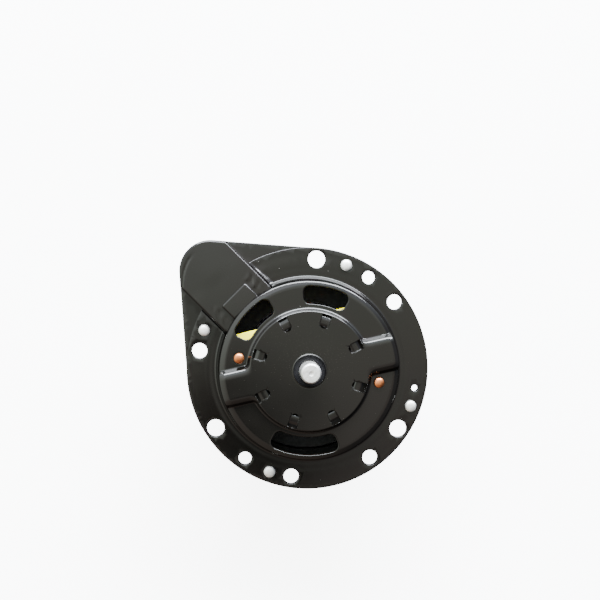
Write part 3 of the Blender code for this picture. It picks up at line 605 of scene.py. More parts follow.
def softened(section, radius):
    """A closed (radius, height) section with its corners rounded, except on the axis."""
    made = []
    count = len(section)
    corners = [np.array(p, float) for p in section]
    for i, here in enumerate(corners):
        before, after = corners[i - 1] - here, corners[(i + 1) % count] - here
        size_before, size_after = np.linalg.norm(before), np.linalg.norm(after)
        before, after = before / size_before, after / size_after
        half = acos(float(np.clip(before @ after, -1, 1))) / 2
        if here[0] == 0.0 or half > radians(86.0):
            made.append(tuple(here))
            continue
        cut = min(radius / np.tan(half), 0.45 * size_before, 0.45 * size_after)
        start, end = here + before * cut, here + after * cut
        for k in range(EDGE_BENDS + 1):
            share = k / EDGE_BENDS
            made.append(tuple((1 - share) ** 2 * start + 2 * share * (1 - share) * here + share**2 * end))
    return made


def lathe(section, steps):
    """The solid of a closed (radius, height) section spun about Z."""
    points, faces, columns = [], [], []
    for radius, height in section:
        count = 1 if radius == 0.0 else steps
        columns.append(list(range(len(points), len(points) + count)))
        points += [(*polar(radius, 360.0 * i / count), height) for i in range(count)]
    for here, after in zip(columns, columns[1:] + columns[:1]):
        here, after = [column * (steps // len(column)) for column in (here, after)]
        for i in range(steps):
            j = (i + 1) % steps
            faces.append([here[i], after[i], after[j], here[j]])
    return points, faces


def pin(radius, low, high, steps):
    """A plain cylinder."""
    return lathe([(0.0, low), (radius, low), (radius, high), (0.0, high)], steps)


def turned(name, node, section, steps, soft, at=Matrix()):
    """A lathed piece with its corners softened."""
    return add_object(name, placed(lathe(softened(section, soft), steps), at), finish_of(node))


def lofted(levels):
    """The solid through outlines with equal point counts, each (outline, height)."""
    count = len(levels[0][0])
    points = [(x, y, height) for ring, height in levels for x, y in ring]
    rings = [range(start, start + count) for start in range(0, len(points), count)]
    faces = [face for here, after in zip(rings, rings[1:]) for face in band(here, after)]
    return points, [*faces, rings[0][::-1], rings[-1]]


def slab_levels(outline, low, high, under_r, top_r, bends=EDGE_BENDS):
    """An outline pulled up into a slab with rounded edges."""
    loop = wound(outline, 1)
    turns = [radians(90.0 * i / bends) for i in range(bends + 1)]
    levels = [(grown(loop, -under_r * (1 - sin(a))), low + under_r * (1 - cos(a))) for a in turns]
    levels += [(grown(loop, -top_r * (1 - cos(a))), high - top_r * (1 - sin(a))) for a in turns]
    return levels


def slab(name, node, outline, low, high, under_r, top_r, at):
    solid = lofted(slab_levels(outline, low, high, under_r, top_r))
    return add_object(name, placed(solid, at), finish_of(node))


def joined(parts):
    """Several solids as one."""
    points, faces = [], []
    for more, sides in parts:
        start = len(points)
        points += [tuple(p) for p in more]
        faces += [[i + start for i in side] for side in sides]
    return points, faces


def combine(piece, solids, operation):
    """Applies one Boolean with all the solids, as the piece's own mesh."""
    other = add_object(piece.name + "_tool", joined(solids), piece.data.materials[0])
    modifier = piece.modifiers.new("tool", "BOOLEAN")
    modifier.operation = operation
    modifier.object = other
    modifier.solver = "EXACT"
    graph = bpy.context.evaluated_depsgraph_get()
    mesh = bpy.data.meshes.new_from_object(piece.evaluated_get(graph))
    piece.modifiers.clear()
    old = piece.data
    piece.data = mesh
    bpy.data.meshes.remove(old)
    shaded(mesh)
    bpy.data.objects.remove(other)


# ---------------------------------------------------------------- mounting plate with its duct

# The duct's roof lies a drop below the plate's highest point. Insets are the rings of points along its wall
ROOF_CORNER_R = 0.5
ROOF_DROP = 0.20
ROOF_FALL = 0.010
ROOF_SAG = 0.05
WRINKLE_X = 9.6
WRINKLE_WIDTH = 1.4
WRINKLE_DEPTHS = (0.12, 0.055)
CREASE_Y = 66.2
CREASE_WIDTH = 0.40
CREASE_DEPTH = 0.16
DUCT_STEP = 0.3
DUCT_WALL = 1.0
DUCT_PITCH = 0.7
FAR_OUTSIDE = -8.0
WALL_INSETS = (-0.24, -0.17, -0.1, 0.0, 0.1, 0.2, 0.3, 0.34, 0.43, 0.56, 0.72, 0.9)
ROOF_INSETS = (1.05, 1.3, 1.6, 1.9, 2.3)


def duct_outline(inset):
    """A strip that fills the plate's corner, just inside its edge."""
    half = DUCT_HALF - inset
    rim = DUCT_RIM + inset
    lean = radians(CORNER_LEAN)
    start = COLLAR_R - 2.0
    end = (PLATE_R - rim - half * sin(lean)) / cos(lean)
    corner = arc((0, CORNER_Y), CORNER_R - rim, 90.0 - CORNER_LEAN, 90.0 + CORNER_LEAN, 48)
    return even([(half, start), (half, end), *corner, (-half, end), (-half, start)], DUCT_PITCH)


def duct_inset(flat):
    """How far inside the duct's outline a point lies."""
    x, y = np.abs(flat[:, 0]), flat[:, 1]
    lean = radians(CORNER_LEAN)
    edge = PLATE_R - (x * sin(lean) + y * cos(lean))
    turn = np.arctan2(x, y - CORNER_Y)
    corner = CORNER_R - np.hypot(x, y - CORNER_Y)
    ahead = np.where((y > CORNER_Y) & (turn < lean), corner, edge) - DUCT_RIM
    beside = DUCT_HALF - x
    blend = np.clip(0.5 - 0.5 * (ahead - beside) / ROOF_CORNER_R, 0.0, 1.0)
    within = ahead * blend + beside * (1.0 - blend) - ROOF_CORNER_R * blend * (1.0 - blend)
    return np.where(y > 20.0, within, FAR_OUTSIDE)


def duct_roof(flat):
    """The roof falls a little to its tip, with wrinkles beside the flap, a crease near the tip and a sag."""
    x, y = flat.T
    radius = np.hypot(x, y)
    fall = ROOF_FALL * (y - COLLAR_R)
    wrinkle = np.sin(radius * 1.5 - x * 0.5 + 1.6 * np.sin(x * 0.9 + 0.4))
    beside = (np.abs(x + 0.2) - WRINKLE_X) / WRINKLE_WIDTH
    wrinkle *= np.where(x > 0.0, *WRINKLE_DEPTHS) * np.exp(-(beside**2))
    wrinkle *= smooth(radius, 38.5, 40.5) * (1.0 - smooth(radius, 44.0, 47.0))
    bend = y - (CREASE_Y - 0.04 * x**2)
    crease = CREASE_DEPTH * np.exp(-((bend / CREASE_WIDTH) ** 2)) * (1.0 - smooth(x, -5.0, 2.0))
    sag = ROOF_SAG * np.cos(np.clip(x / DUCT_HALF, -1.0, 1.0) * pi) * smooth(y, 50.0, 56.0)
    return DUCT_TOP - ROOF_DROP - fall - crease + wrinkle + sag


def plate_face(flat):
    """Flat sheet outside the duct, and the roof within its walls."""
    inset = duct_inset(flat) - DUCT_STEP
    return pressed(inset, SHEET, duct_roof(flat), shoulder=(0.55, 0.55), foot=0.12, draft=0.40)


def plate_back(flat):
    inset = duct_inset(flat) - DUCT_STEP - DUCT_WALL
    roof = duct_roof(flat) - DUCT_WALL
    return np.column_stack([flat, pressed(inset, 0.0, roof, shoulder=(0.3, 0.3), foot=0.2, draft=0.3)])


def teardrop():
    """The plate's outer edge."""
    loop = arc((0, 0), PLATE_R, 90.0 + CORNER_LEAN, 450.0 - CORNER_LEAN, 200)
    return even(loop + arc((0, CORNER_Y), CORNER_R, 90.0 - CORNER_LEAN, 90.0 + CORNER_LEAN, 60), 1.0)


def plate_holes():
    """The holes that plate and flange share."""
    loops = [circle(polar(HOLE_CIRCLE_R, angle), radius, 48) for radius, angles in HOLES for angle in angles]
    return loops + [circle(polar(RIVET_CIRCLE_R, angle), RIVET_SHANK_R + GAP, 24) for angle in RIVET_ANGLES]


def make_plate():
    foot = wound(duct_outline(0.0), 1)
    rings = [grown(foot, -inset) for inset in WALL_INSETS]
    rings += [duct_outline(inset) for inset in ROOF_INSETS]
    roof = hexes((-11.2, COLLAR_R), (11.2, 67.5), 0.6)
    roof = roof[duct_inset(roof) > 2.5]
    grid = hexes((-PLATE_R, -PLATE_R), (PLATE_R, TIP_Y), 3.0)
    grid = grid[duct_inset(grid) < -0.8]
    loops = [teardrop(), circle((0, 0), CAN_R - 0.02, 240), *plate_holes()]
    points = np.vstack([*rings, roof, grid])
    node = "mounting_plate"
    stand_in(sheet(node + "_pressing", node, loops, points, plate_face, plate_back), node)


# ---------------------------------------------------------------- motor flange

COLLAR_FOOT = 38.3
COLLAR_LIP = 37.0
COLLAR_EDGE_R = 0.35
COLLAR_EDGE_DROP = 0.28
LIP_WIDTH = 1.7
LIP_TAPER = 0.8
LIP_LOW = 0.34
LIP_RISE = 0.36
DISH = 0.09
WAVE = 0.025
FLANGE_WALL = 1.0
COLLAR_RINGS = (37.16, 37.27, 37.4, 37.55, 37.7, 37.9, 38.1, 38.3)
LIP_RINGS = (0.3, 0.6, 0.9, 1.2, 1.5, 1.66, 1.74, 2.0, 2.5)


def collar_height(radius):
    """A wide sweep up to the can, with a rounded lip."""
    climb = np.clip((COLLAR_FOOT - radius) / (COLLAR_FOOT - COLLAR_LIP), 0.0, 1.0)
    edge = np.clip((COLLAR_LIP + COLLAR_EDGE_R - radius) / (2 * COLLAR_EDGE_R), 0.0, 1.0)
    return (COLLAR_TOP - COLLAR_EDGE_R - FLANGE_FACE) * climb**2 - COLLAR_EDGE_DROP * edge**2


def flange_face(flat):
    """Slightly dished and wavy, with the collar round the can and a turned-up edge right of the duct."""
    x, y = flat.T
    radius = np.hypot(x, y)
    rise = smooth(-radius, -49.6, -40.0)
    out = np.clip((np.abs(x) - GATE_HALF) / (LIP_WIDTH - LIP_TAPER + LIP_TAPER * rise), 0.0, 1.0)
    lip = np.where((x > 0.0) & (y > 0.0), (LIP_LOW + LIP_RISE * rise) * (1.0 - out), 0.0)
    lip = lip * smooth(-radius, -49.9, -49.3)
    dish = DISH * smooth(radius, 38.3, 42.5) - DISH
    ripple = np.sin(1.15 * radius + 0.9 * np.sin(2.0 * np.arctan2(y, x)))
    wave = WAVE * ripple * smooth(radius, 39.0, 41.0) - WAVE
    return FLANGE_FACE + dish + wave + collar_height(radius) + lip


def flange_back(flat):
    """The back lies a wall behind the face, measured square to it, and flat where the face is flat."""
    delta = 0.01
    height = flange_face(flat)
    slope = [(flange_face(flat + np.array(step)) - height) / delta for step in ((delta, 0.0), (0.0, delta))]
    normal = np.column_stack([-slope[0], -slope[1], np.ones(len(flat))])
    normal /= np.linalg.norm(normal, axis=1)[:, None]
    made = np.column_stack([flat, height]) - normal * FLANGE_WALL
    made[:, 2] = np.maximum(np.minimum(made[:, 2], height - 0.4), FLANGE_BACK)
    made[:, 2] = np.where(height < FLANGE_FACE + 0.02, FLANGE_BACK, made[:, 2])
    radius = np.hypot(made[:, 0], made[:, 1])
    made[:, :2] *= np.maximum(1.0, (COLLAR_R - 0.1) / radius)[:, None]
    near_gate = (flat[:, 1] > 0.0) & (flat[:, 0] > 0.0) & (made[:, 0] < GATE_HALF)
    made[:, 0] = np.where(near_gate, GATE_HALF - 0.12, made[:, 0])
    return made


def make_flange():
    """The ring is open at the duct, so its ends are angles on the outer and the inner circle."""
    outer_left, outer_right = [degrees(acos(half / PLATE_R)) for half in (GATE_LEFT, GATE_HALF)]
    inner_left, inner_right = [degrees(acos(half / COLLAR_R)) for half in (GATE_LEFT, GATE_HALF)]
    outline = arc((0, 0), PLATE_R, 180.0 - outer_left, 360.0 + outer_right, 260)
    outline += arc((0, 0), COLLAR_R, 360.0 + inner_right, 180.0 - inner_left, 240)
    rings = [round_axis(r, 520) for r in COLLAR_RINGS]
    rings += [round_axis(r, 260) for r in np.arange(38.7, 43.0, 0.6)]
    strips = [np.array([(GATE_HALF + out, y) for y in np.arange(34.0, 49.5, 0.55)]) for out in LIP_RINGS]
    grid = hexes((-PLATE_R, -PLATE_R), (PLATE_R, PLATE_R), 2.2)
    grid = grid[np.hypot(*grid.T) > 44.8]
    loops = [even(outline, 0.45), *plate_holes()]
    points = np.vstack([*rings, *strips, grid])
    node = "motor_flange"
    stand_in(sheet(node + "_pressing", node, loops, points, flange_face, flange_back), node)


# ---------------------------------------------------------------- motor can

CORNER_V = SPOKE_HALF + INNER_CORNER_R
CORNER_U = sqrt((DISC_R + INNER_CORNER_R) ** 2 - CORNER_V**2)
CORNER_TURN = degrees(atan2(CORNER_V, CORNER_U))
SPOKE_FOOT = 0.35
SPOKE_DRAFT = 0.85
RIM_WIDTH = 2.9
RIM_R = 6.2
RIM_EDGE_R = 0.55
# Rings of points: distances in from the rim, distances out from the crown, and radii round the well
RIM_RINGS = (0.0, 0.02, 0.06, 0.13, 0.22, 0.34, 0.5, 0.6, 0.9, 1.3, 1.7, 2.1, 2.5, 2.9, 3.1)
CROWN_RINGS = (
    *(1.7, 1.4, 1.2, 1.0, 0.8, 0.62, 0.46, 0.34, 0.25, 0.2, 0.1, 0.0, -0.03, -0.1, -0.2, -0.34),
    *(-0.5, -0.7, -0.9, -1.2, -1.6, -2.0, -2.5, -3.0, -3.5, -4.2),
)
WELL_RINGS = (6.67, 6.74, 6.82, 6.92, 7.05, 7.25)
LOUVER_INSETS = (-0.07, -0.02, 0.03, 0.08, 0.13, 0.18, 0.22)
# Radius and depth along a louvre
LOUVER_DEPTH = np.array([
    *((17.5, 2.00), (18.0, 1.90), (18.4, 1.30), (18.8, 0.92), (19.4, 0.85), (20.4, 0.84), (21.2, 0.85)),
    *((21.5, 0.88), (21.8, 0.96), (22.2, 1.10), (22.7, 1.30), (23.2, 1.51), (23.8, 1.76)),
])


def spoke_axes(flat):
    """Distances along and across the spokes' line, both positive."""
    u, v = turned_axes(flat, SPOKE_ANGLE)
    return np.abs(u), np.abs(v)


def crown_distance(flat):
    """Distance outside the raised disc and its two spokes, whose inner corners are rounded."""
    u, v = spoke_axes(flat)
    radius = np.hypot(u, v)
    angle = np.degrees(np.arctan2(v, u))
    corner = INNER_CORNER_R - np.hypot(u - CORNER_U, v - CORNER_V)
    return np.where(angle > CORNER_TURN, radius - DISC_R, np.where(u > CORNER_U, v - SPOKE_HALF, corner))


def crown_ring(out):
    """The crown's outline moved out, as points in all four quadrants."""
    disc = arc((0, 0), DISC_R + out, CORNER_TURN, 90.0, 56)
    bend = arc((CORNER_U, CORNER_V), INNER_CORNER_R - out, 180.0 + CORNER_TURN, 270.0, 9)
    half = SPOKE_HALF + out
    crossings = [sqrt((CAN_R - inset) ** 2 - half**2) for inset in RIM_RINGS]
    run = [(u, half) for u in [*np.arange(CORNER_U + 0.5, crossings[-1], 0.55), *crossings]]
    quarter = np.array(disc + bend + run)
    return from_axes(np.vstack([quarter * (a, b) for a in (-1, 1) for b in (-1, 1)]), SPOKE_ANGLE)


def crossing_rim(inset):
    """A circle inside the can's rim, with points where the crown's rings cross it."""
    radius = CAN_R - inset
    turns = set(np.round(np.arange(0.0, 360.0, 1.5), 3))
    for out in CROWN_RINGS:
        lean = degrees(asin((SPOKE_HALF + out) / radius))
        for middle in (SPOKE_ANGLE, SPOKE_ANGLE + 180.0):
            turns |= {round((middle + side) % 360.0, 3) for side in (-lean, lean)}
    kept = []
    for turn in sorted(turns):
        if not kept or turn - kept[-1] > 0.05:
            kept.append(turn)
    return np.array([polar(radius, turn) for turn in kept])


def louver_drop(flat):
    """Depth of the eight pressed tongues."""
    inner, outer = LOUVER_R
    drop = np.zeros(len(flat))
    for angle in LOUVER_ANGLES:
        out, across = turned_axes(flat, angle)
        across = np.abs(across)
        round_end = LOUVER_HALF - np.hypot(out - inner - LOUVER_HALF, across)
        within = np.minimum(np.where(out < inner + LOUVER_HALF, round_end, LOUVER_HALF - across), outer - out)
        drop += np.interp(out, *LOUVER_DEPTH.T) * smooth(within, -0.06, 0.20)
    return drop


def louver_gap(flat):
    """Distance outside the nearest tongue, roughly."""
    gaps = []
    for angle in LOUVER_ANGLES:
        out, across = turned_axes(flat, angle)
        beyond = np.maximum(0.0, np.maximum(LOUVER_R[0] - out, out - LOUVER_R[1]))
        gaps.append(np.hypot(beyond, np.maximum(0.0, np.abs(across) - LOUVER_HALF)))
    return np.min(gaps, axis=0)


def louver_points():
    inner, outer = LOUVER_R
    local = []
    for inset in LOUVER_INSETS:
        half = LOUVER_HALF - inset
        bend = arc((inner + LOUVER_HALF, 0.0), half, 90.0, 270.0, 18)
        local += list(even(bend + [(outer - inset, -half), (outer - inset, half)], 0.32))
    for out in LOUVER_DEPTH[1:-1, 0]:
        local += [(out, across) for across in np.linspace(-1.35, 1.35, 8)]
    return np.vstack([from_axes(np.array(local), angle) for angle in LOUVER_ANGLES])


def crown_height(flat, inset, low, high, shoulders, foot):
    """Sector level outside the crown and disc level on it.

    The disc has the first, tight shoulder, and the spokes have the second, fuller one."""
    distance = -crown_distance(flat) - inset
    u, _ = spoke_axes(flat)
    share = smooth(u, 21.5, 26.5)
    disc = pressed(distance, low, high, shoulders[0], foot, 0.3)
    spoke = pressed(distance, low, high, shoulders[1], SPOKE_FOOT, SPOKE_DRAFT)
    return disc * (1.0 - share) + spoke * share


def rim_drop(inset, edge_r):
    """A gentle shoulder, then a tight bend at the edge."""
    lean = np.clip(RIM_WIDTH - inset, 0.0, RIM_WIDTH)
    return RIM_R - np.sqrt(RIM_R**2 - lean**2) + round_off(inset, edge_r)


def can_face(flat):
    radius = np.hypot(*flat.T)
    height = crown_height(flat, 0.0, SECTOR_TOP, DISC_TOP, ((0.55, 0.55), (2.6, 0.95)), 1.1)
    height -= rim_drop(CAN_R - radius, RIM_EDGE_R) + round_off(radius - WELL_R, 0.6)
    return height - louver_drop(flat)


def can_back(flat):
    """A wall behind the face, with the outermost points squeezed in to the bore."""
    radius = np.hypot(*flat.T)
    start = CAN_BORE_R - 1.2
    share = (CAN_BORE_R - start) / (CAN_R - start)
    squeezed = np.where(radius > start, start + (radius - start) * share, radius)
    made = flat * (squeezed / radius)[:, None]
    low, high = SECTOR_TOP - CAN_WALL, DISC_TOP - CAN_WALL
    height = crown_height(made, 1.0, low, high, ((0.3, 0.3), (2.2, 0.9)), 0.6)
    height -= rim_drop(CAN_BORE_R - squeezed, 0.3) + round_off(radius - WELL_R, 0.5)
    return np.column_stack([made, height - louver_drop(flat)])


def can_skirt():
    """Outer wall down to the open end, round its edge, and up the inner wall."""
    levels = [9.0, 6.5, 3.0, -2.0, -8.0, -14.0, -20.0, -26.0, -31.0, CAN_END + 0.5]
    end = [(CAN_R - 0.08, CAN_END + 0.15), (CAN_R - 0.3, CAN_END)]
    end += [(CAN_BORE_R + 0.3, CAN_END), (CAN_BORE_R + 0.08, CAN_END + 0.15)]
    return [(CAN_R, z) for z in levels] + end + [(CAN_BORE_R, z) for z in reversed(levels[:-1])]


def card_rivet_bores():
    return [circle(polar(CARD_RIVET_R, angle), CARD_BORE_R, 24) for angle in CARD_RIVET_ANGLES]


def make_can():
    slots = [even(kidney(SLOT_R, angles, SLOT_CORNER_R), 0.5) for angles in SLOT_ANGLES]
    outer, *rims = [crossing_rim(inset) for inset in RIM_RINGS]
    crown = [crown_ring(out) for out in CROWN_RINGS]
    wells = [round_axis(r, 120) for r in WELL_RINGS]
    frills = [grown(wound(loop, 1), out) for loop in slots for out in (0.25, 0.6)]
    grid = hexes((-CAN_R, -CAN_R), (CAN_R, CAN_R), 1.7)
    radius = np.hypot(*grid.T)
    clear = (radius < CAN_R - 3.5) & (radius > 8.6) & (np.abs(crown_distance(grid) + 0.7) > 2.0)
    clear &= louver_gap(grid) > 0.6
    points = np.vstack([*rims, *crown, louver_points(), *wells, *frills, grid[clear]])
    points = points[np.hypot(*points.T) < CAN_R - 0.015]
    loops = [outer, round_axis(WELL_R, 120), *slots, *card_rivet_bores()]
    node = "motor_can"
    piece = sheet(node + "_pressing", node, loops, points, can_face, can_back, 0.22, can_skirt())
    cut_can(piece)
    add_flap(piece)
    piece.modifiers.new("normals", "WEIGHTED_NORMAL").keep_sharp = True
    stand_in(piece, node)


def cut_can(piece):
    """Cuts the side window and the screw holes."""
    window = rectangle(CAN_R - 4.0, -FLAP_HALF, CAN_R + 1.0, FLAP_HALF)
    tools = [placed(lofted([(window, z) for z in WINDOW_Z]), along(90.0))]
    bore = pin(END_BORE_R, CAN_R - 3.0, CAN_R + 1.0, 32)
    tools += [placed(bore, radial(angle + BORE_TWIST, END_SCREW_Z)) for angle in END_SCREW_ANGLES]
    combine(piece, tools, "DIFFERENCE")


def add_flap(piece):
    """The window's flap, which lies over the duct and droops to its end."""
    start = CAN_R - 0.6
    corner = 0.9
    droop = 0.025
    outline = [(start, -FLAP_HALF), *arc((FLAP_R - corner, corner - FLAP_HALF), corner, -90.0, 0.0, 5)]
    outline += [*arc((FLAP_R - corner, FLAP_HALF - corner), corner, 0.0, 90.0, 5), (start, FLAP_HALF)]
    points, faces = lofted(slab_levels(outline, *FLAP_Z, under_r=0.15, top_r=0.75, bends=4))
    points = [(x, y, z - droop * (x - start)) for x, y, z in points]
    combine(piece, [placed((points, faces), along(90.0))], "UNION")


# ---------------------------------------------------------------- rivets, shaft and bearings

def domed(radius, seat, top, rise=0.3):
    """The outside of a rivet head, from its edge to its crown."""
    turns = np.radians(np.arange(0.0, 90.0, 9.0))
    side = [(radius * cos(a) ** 0.8, seat + rise + (top - seat - rise) * sin(a)) for a in turns]
    return [(radius - 0.1, seat), *side, (0.0, top)]


def make_rivet_set(prefix, angles, circle_r, tail, head):
    """One rivet at each angle, its head given as (radius, seat, top, rise)."""
    for number, angle in enumerate(angles, 1):
        node = f"{prefix}_{number}"
        at = shift(*polar(circle_r, angle))
        stand_in(turned(node + "_head", node, tail + domed(*head), 56, 0.05, at), node)


def make_rivets():
    low, high = heights("plate_rivet_1")
    seat = FLANGE_FACE + GAP
    tail = [(0.0, low), (1.8, low), (2.3, -GAP), (RIVET_SHANK_R, -GAP), (RIVET_SHANK_R, seat)]
    make_rivet_set("plate_rivet", RIVET_ANGLES, RIVET_CIRCLE_R, tail, (RIVET_HEAD_R, seat, high, 0.35))
    low, high = heights("card_rivet_1")
    card_low, card_high = heights("brush_card")
    sheet_back = SECTOR_TOP - CAN_WALL
    seat = SECTOR_TOP + GAP
    shank, collar = 1.6, 3.0
    tail = [(0.0, low), (2.4, low), (2.6, card_low - GAP), (shank, card_low - GAP), (shank, card_high + GAP)]
    tail += [(collar, card_high + GAP), (collar, sheet_back - GAP), (shank, sheet_back - GAP), (shank, seat)]
    make_rivet_set("card_rivet", CARD_RIVET_ANGLES, CARD_RIVET_R, tail, (2.15, seat, high, 0.2))


def make_shaft():
    low, high = heights("shaft")
    groove_low, groove_high = 5.9, 7.1
    section = [(0.0, low), (SHAFT_R - 0.6, low), (SHAFT_R, low + 0.6), (SHAFT_R, groove_low)]
    section += [(SHAFT_R - 0.5, groove_low), (SHAFT_R - 0.5, groove_high), (SHAFT_R, groove_high)]
    section += [(SHAFT_R, high - 0.62), (SHAFT_R - 0.62, high), (1.0, high), (0.0, high - 0.3)]
    stand_in(turned("shaft_ground", "shaft", section, 96, 0.12), "shaft")


OUTER_RING_R = 6.6
INNER_RING_R = 6.3


def make_bearings():
    """Each bearing's two rings, and the seal seen in the well, which has no CAD node of its own."""
    for end in ("rear", "front"):
        node = f"{end}_bearing_outer"
        low, high = heights(node)
        radius = reach(node)[1][0]
        face_r = radius - 1.6
        section = [(OUTER_RING_R, low + 0.4), (radius - 1.7, low + 0.4), (face_r, low), (radius, low)]
        section += [(radius, high), (face_r, high), (radius - 1.7, high - 0.4), (OUTER_RING_R, high - 0.4)]
        stand_in(turned(f"{end}_outer_ring", node, section, 96, 0.2), node)
        node = f"{end}_bearing_inner"
        section = [(SHAFT_R + GAP, low), (INNER_RING_R, low), (INNER_RING_R, high), (SHAFT_R + GAP, high)]
        stand_in(turned(f"{end}_inner_ring", node, section, 96, 0.25), node)
    top = heights("rear_bearing_outer")[1]
    section = [(4.35, top + 0.03), (9.4, top + 0.03), (9.4, top + 0.10), (OUTER_RING_R, top + 0.10)]
    section += [(6.2, top + 0.16), (5.0, top + 0.18), (4.35, top + 0.10)]
    seal = add_object("rear_bearing_seal", lathe(softened(section, 0.06), 96), MATERIALS["black_nylon"])
    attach(seal, BODY_OF["rear_bearing_outer"])


# ---------------------------------------------------------------- brush card and springs

FIELD_ANGLE = 59.0
CARD_R = 34.4
CARD_CHORDS = (21.0, 16.0)
CUP_R = 12.5


def make_card():
    low, high = heights("brush_card")
    upper, lower = [degrees(acos(chord / CARD_R)) for chord in CARD_CHORDS]
    outline = arc((0, 0), CARD_R, upper, 180.0 - lower, 60)
    outline += arc((0, 0), CARD_R, 180.0 + lower, 360.0 - upper, 60)
    outline = moved(np.column_stack([outline, np.zeros(len(outline))]), along(FIELD_ANGLE))[:, :2]
    piece = sheet(
        "brush_card_board",
        "brush_card",
        [even(outline, 1.5), circle((0, 0), CUP_R + 0.5, 80), *card_rivet_bores()],
        hexes((-CARD_R, -CARD_R), (CARD_R, CARD_R), 3.0),
        lambda flat: np.full(len(flat), high),
        lambda flat: np.column_stack([flat, np.full(len(flat), low)]),
    )
    stand_in(piece, "brush_card")


SPRING_TURNS = 4.5
SPRING_WIRE_R = 0.3
SPRING_COIL_R = 1.9
SPRING_ENDS = (20.6, 27.9)
SPRING_Z = 0.5
BRUSH_ANGLES = (149.0, -31.0)


def make_springs():
    """Coils that shorten along the brush's slide, towards the holder's back wall."""
    start, end = SPRING_ENDS
    steps, sides = 150, 10
    points, faces = [], []
    for i in range(steps + 1):
        turn = 2 * pi * SPRING_TURNS * i / steps
        along_x = start + SPRING_WIRE_R + (end - start - 2 * SPRING_WIRE_R) * i / steps
        for k in range(sides):
            side = 2 * pi * k / sides
            out = SPRING_COIL_R + SPRING_WIRE_R * cos(side)
            points.append((along_x + SPRING_WIRE_R * sin(side), out * cos(turn), SPRING_Z + out * sin(turn)))
    rings = [range(i * sides, (i + 1) * sides) for i in range(steps + 1)]
    for here, after in zip(rings, rings[1:]):
        faces += band(here, after)
    coil = points, [*faces, rings[0], rings[-1]]
    for number, angle in enumerate(BRUSH_ANGLES, 1):
        node = f"brush_spring_{number}"
        piece = add_object(node + "_coil", placed(coil, along(angle)), finish_of(node))
        stand_in(piece, node)
        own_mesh(piece)


# ---------------------------------------------------------------- drive end and terminals

END_VENTS = 6
END_VENT_R = 4.5
END_VENT_CIRCLE_R = 22.5
END_PLATE_SHEET = 1.7


def make_drive_end():
    low, high = heights("drive_end_plate")
    face = CAN_END - GAP
    back = face - END_PLATE_SHEET
    cup_r = 11.0 + GAP
    spigot_r = CAN_BORE_R - GAP
    floor = low + 1.2
    section = [
        (SHAFT_R + 1.2, low),
        (cup_r + 1.7, low),
        (cup_r + 1.9, back - 0.6),
        (cup_r + 2.5, back),
        (CAN_R, back),
        (CAN_R, face),
        (spigot_r, face),
        (spigot_r, high),
        (spigot_r - 3.0, high),
        (spigot_r - 3.0, face),
        (cup_r, face),
        (cup_r, floor),
        (SHAFT_R + 1.2, floor),
    ]
    piece = turned("drive_end_casting", "drive_end_plate", section, 160, 0.5)
    flare = 0.5
    section = [(0.0, back - 1.0), (END_VENT_R + 1.0 + flare, back - 1.0), (END_VENT_R, back + flare)]
    section += [(END_VENT_R, face - flare), (END_VENT_R + 1.0 + flare, face + 1.0), (0.0, face + 1.0)]
    drill = lathe(section, 48)
    bore = pin(END_BORE_R, spigot_r - 5.0, CAN_R + 1.0, 24)
    turns = [360.0 * vent / END_VENTS for vent in range(END_VENTS)]
    tools = [placed(drill, shift(*polar(END_VENT_CIRCLE_R, turn))) for turn in turns]
    tools += [placed(bore, radial(angle, END_SCREW_Z)) for angle in END_SCREW_ANGLES]
    combine(piece, tools, "DIFFERENCE")
    stand_in(piece, "drive_end_plate")
    seat = CAN_R + GAP
    top = seat + 1.7
    shank = [(0.0, spigot_r - 2.4), (1.0, spigot_r - 2.4), (1.3, spigot_r - 2.0), (1.3, seat), (2.6, seat)]
    arms = [cross_arm(2.2, 0.55, top - 0.9, top + 0.5), cross_arm(0.55, 2.2, top - 0.9, top + 0.5)]
    for number, angle in enumerate(END_SCREW_ANGLES, 1):
        node = f"end_screw_{number}"
        at = radial(angle, END_SCREW_Z)
        screw = turned(node + "_head", node, shank + domed(2.7, seat, top, 0.5), 48, 0.06, at)
        combine(screw, [placed(arm, at) for arm in arms], "DIFFERENCE")
        stand_in(screw, node)


def cross_arm(half_x, half_y, low, high):
    """One arm of a cross recess, which narrows to its bottom."""
    taper = 0.6
    x, y = half_x * taper, half_y * taper
    deep = rectangle(-x, -y, x, y)
    return lofted([(deep, low), ([(x / taper, y / taper) for x, y in deep], high)])


SOCKET_ANGLE = -32.0
SOCKET_DEPTH = 10.4
SOCKET_WIDTH = 16.0
SOCKET_WALL = 1.5
BLADE_OFFSET = 4.2


BLADE_HALF = 3.15
BLADE_HALF_SHEET = 0.4
SLIT_HALF = 3.45
SLIT_HALF_SHEET = 0.7


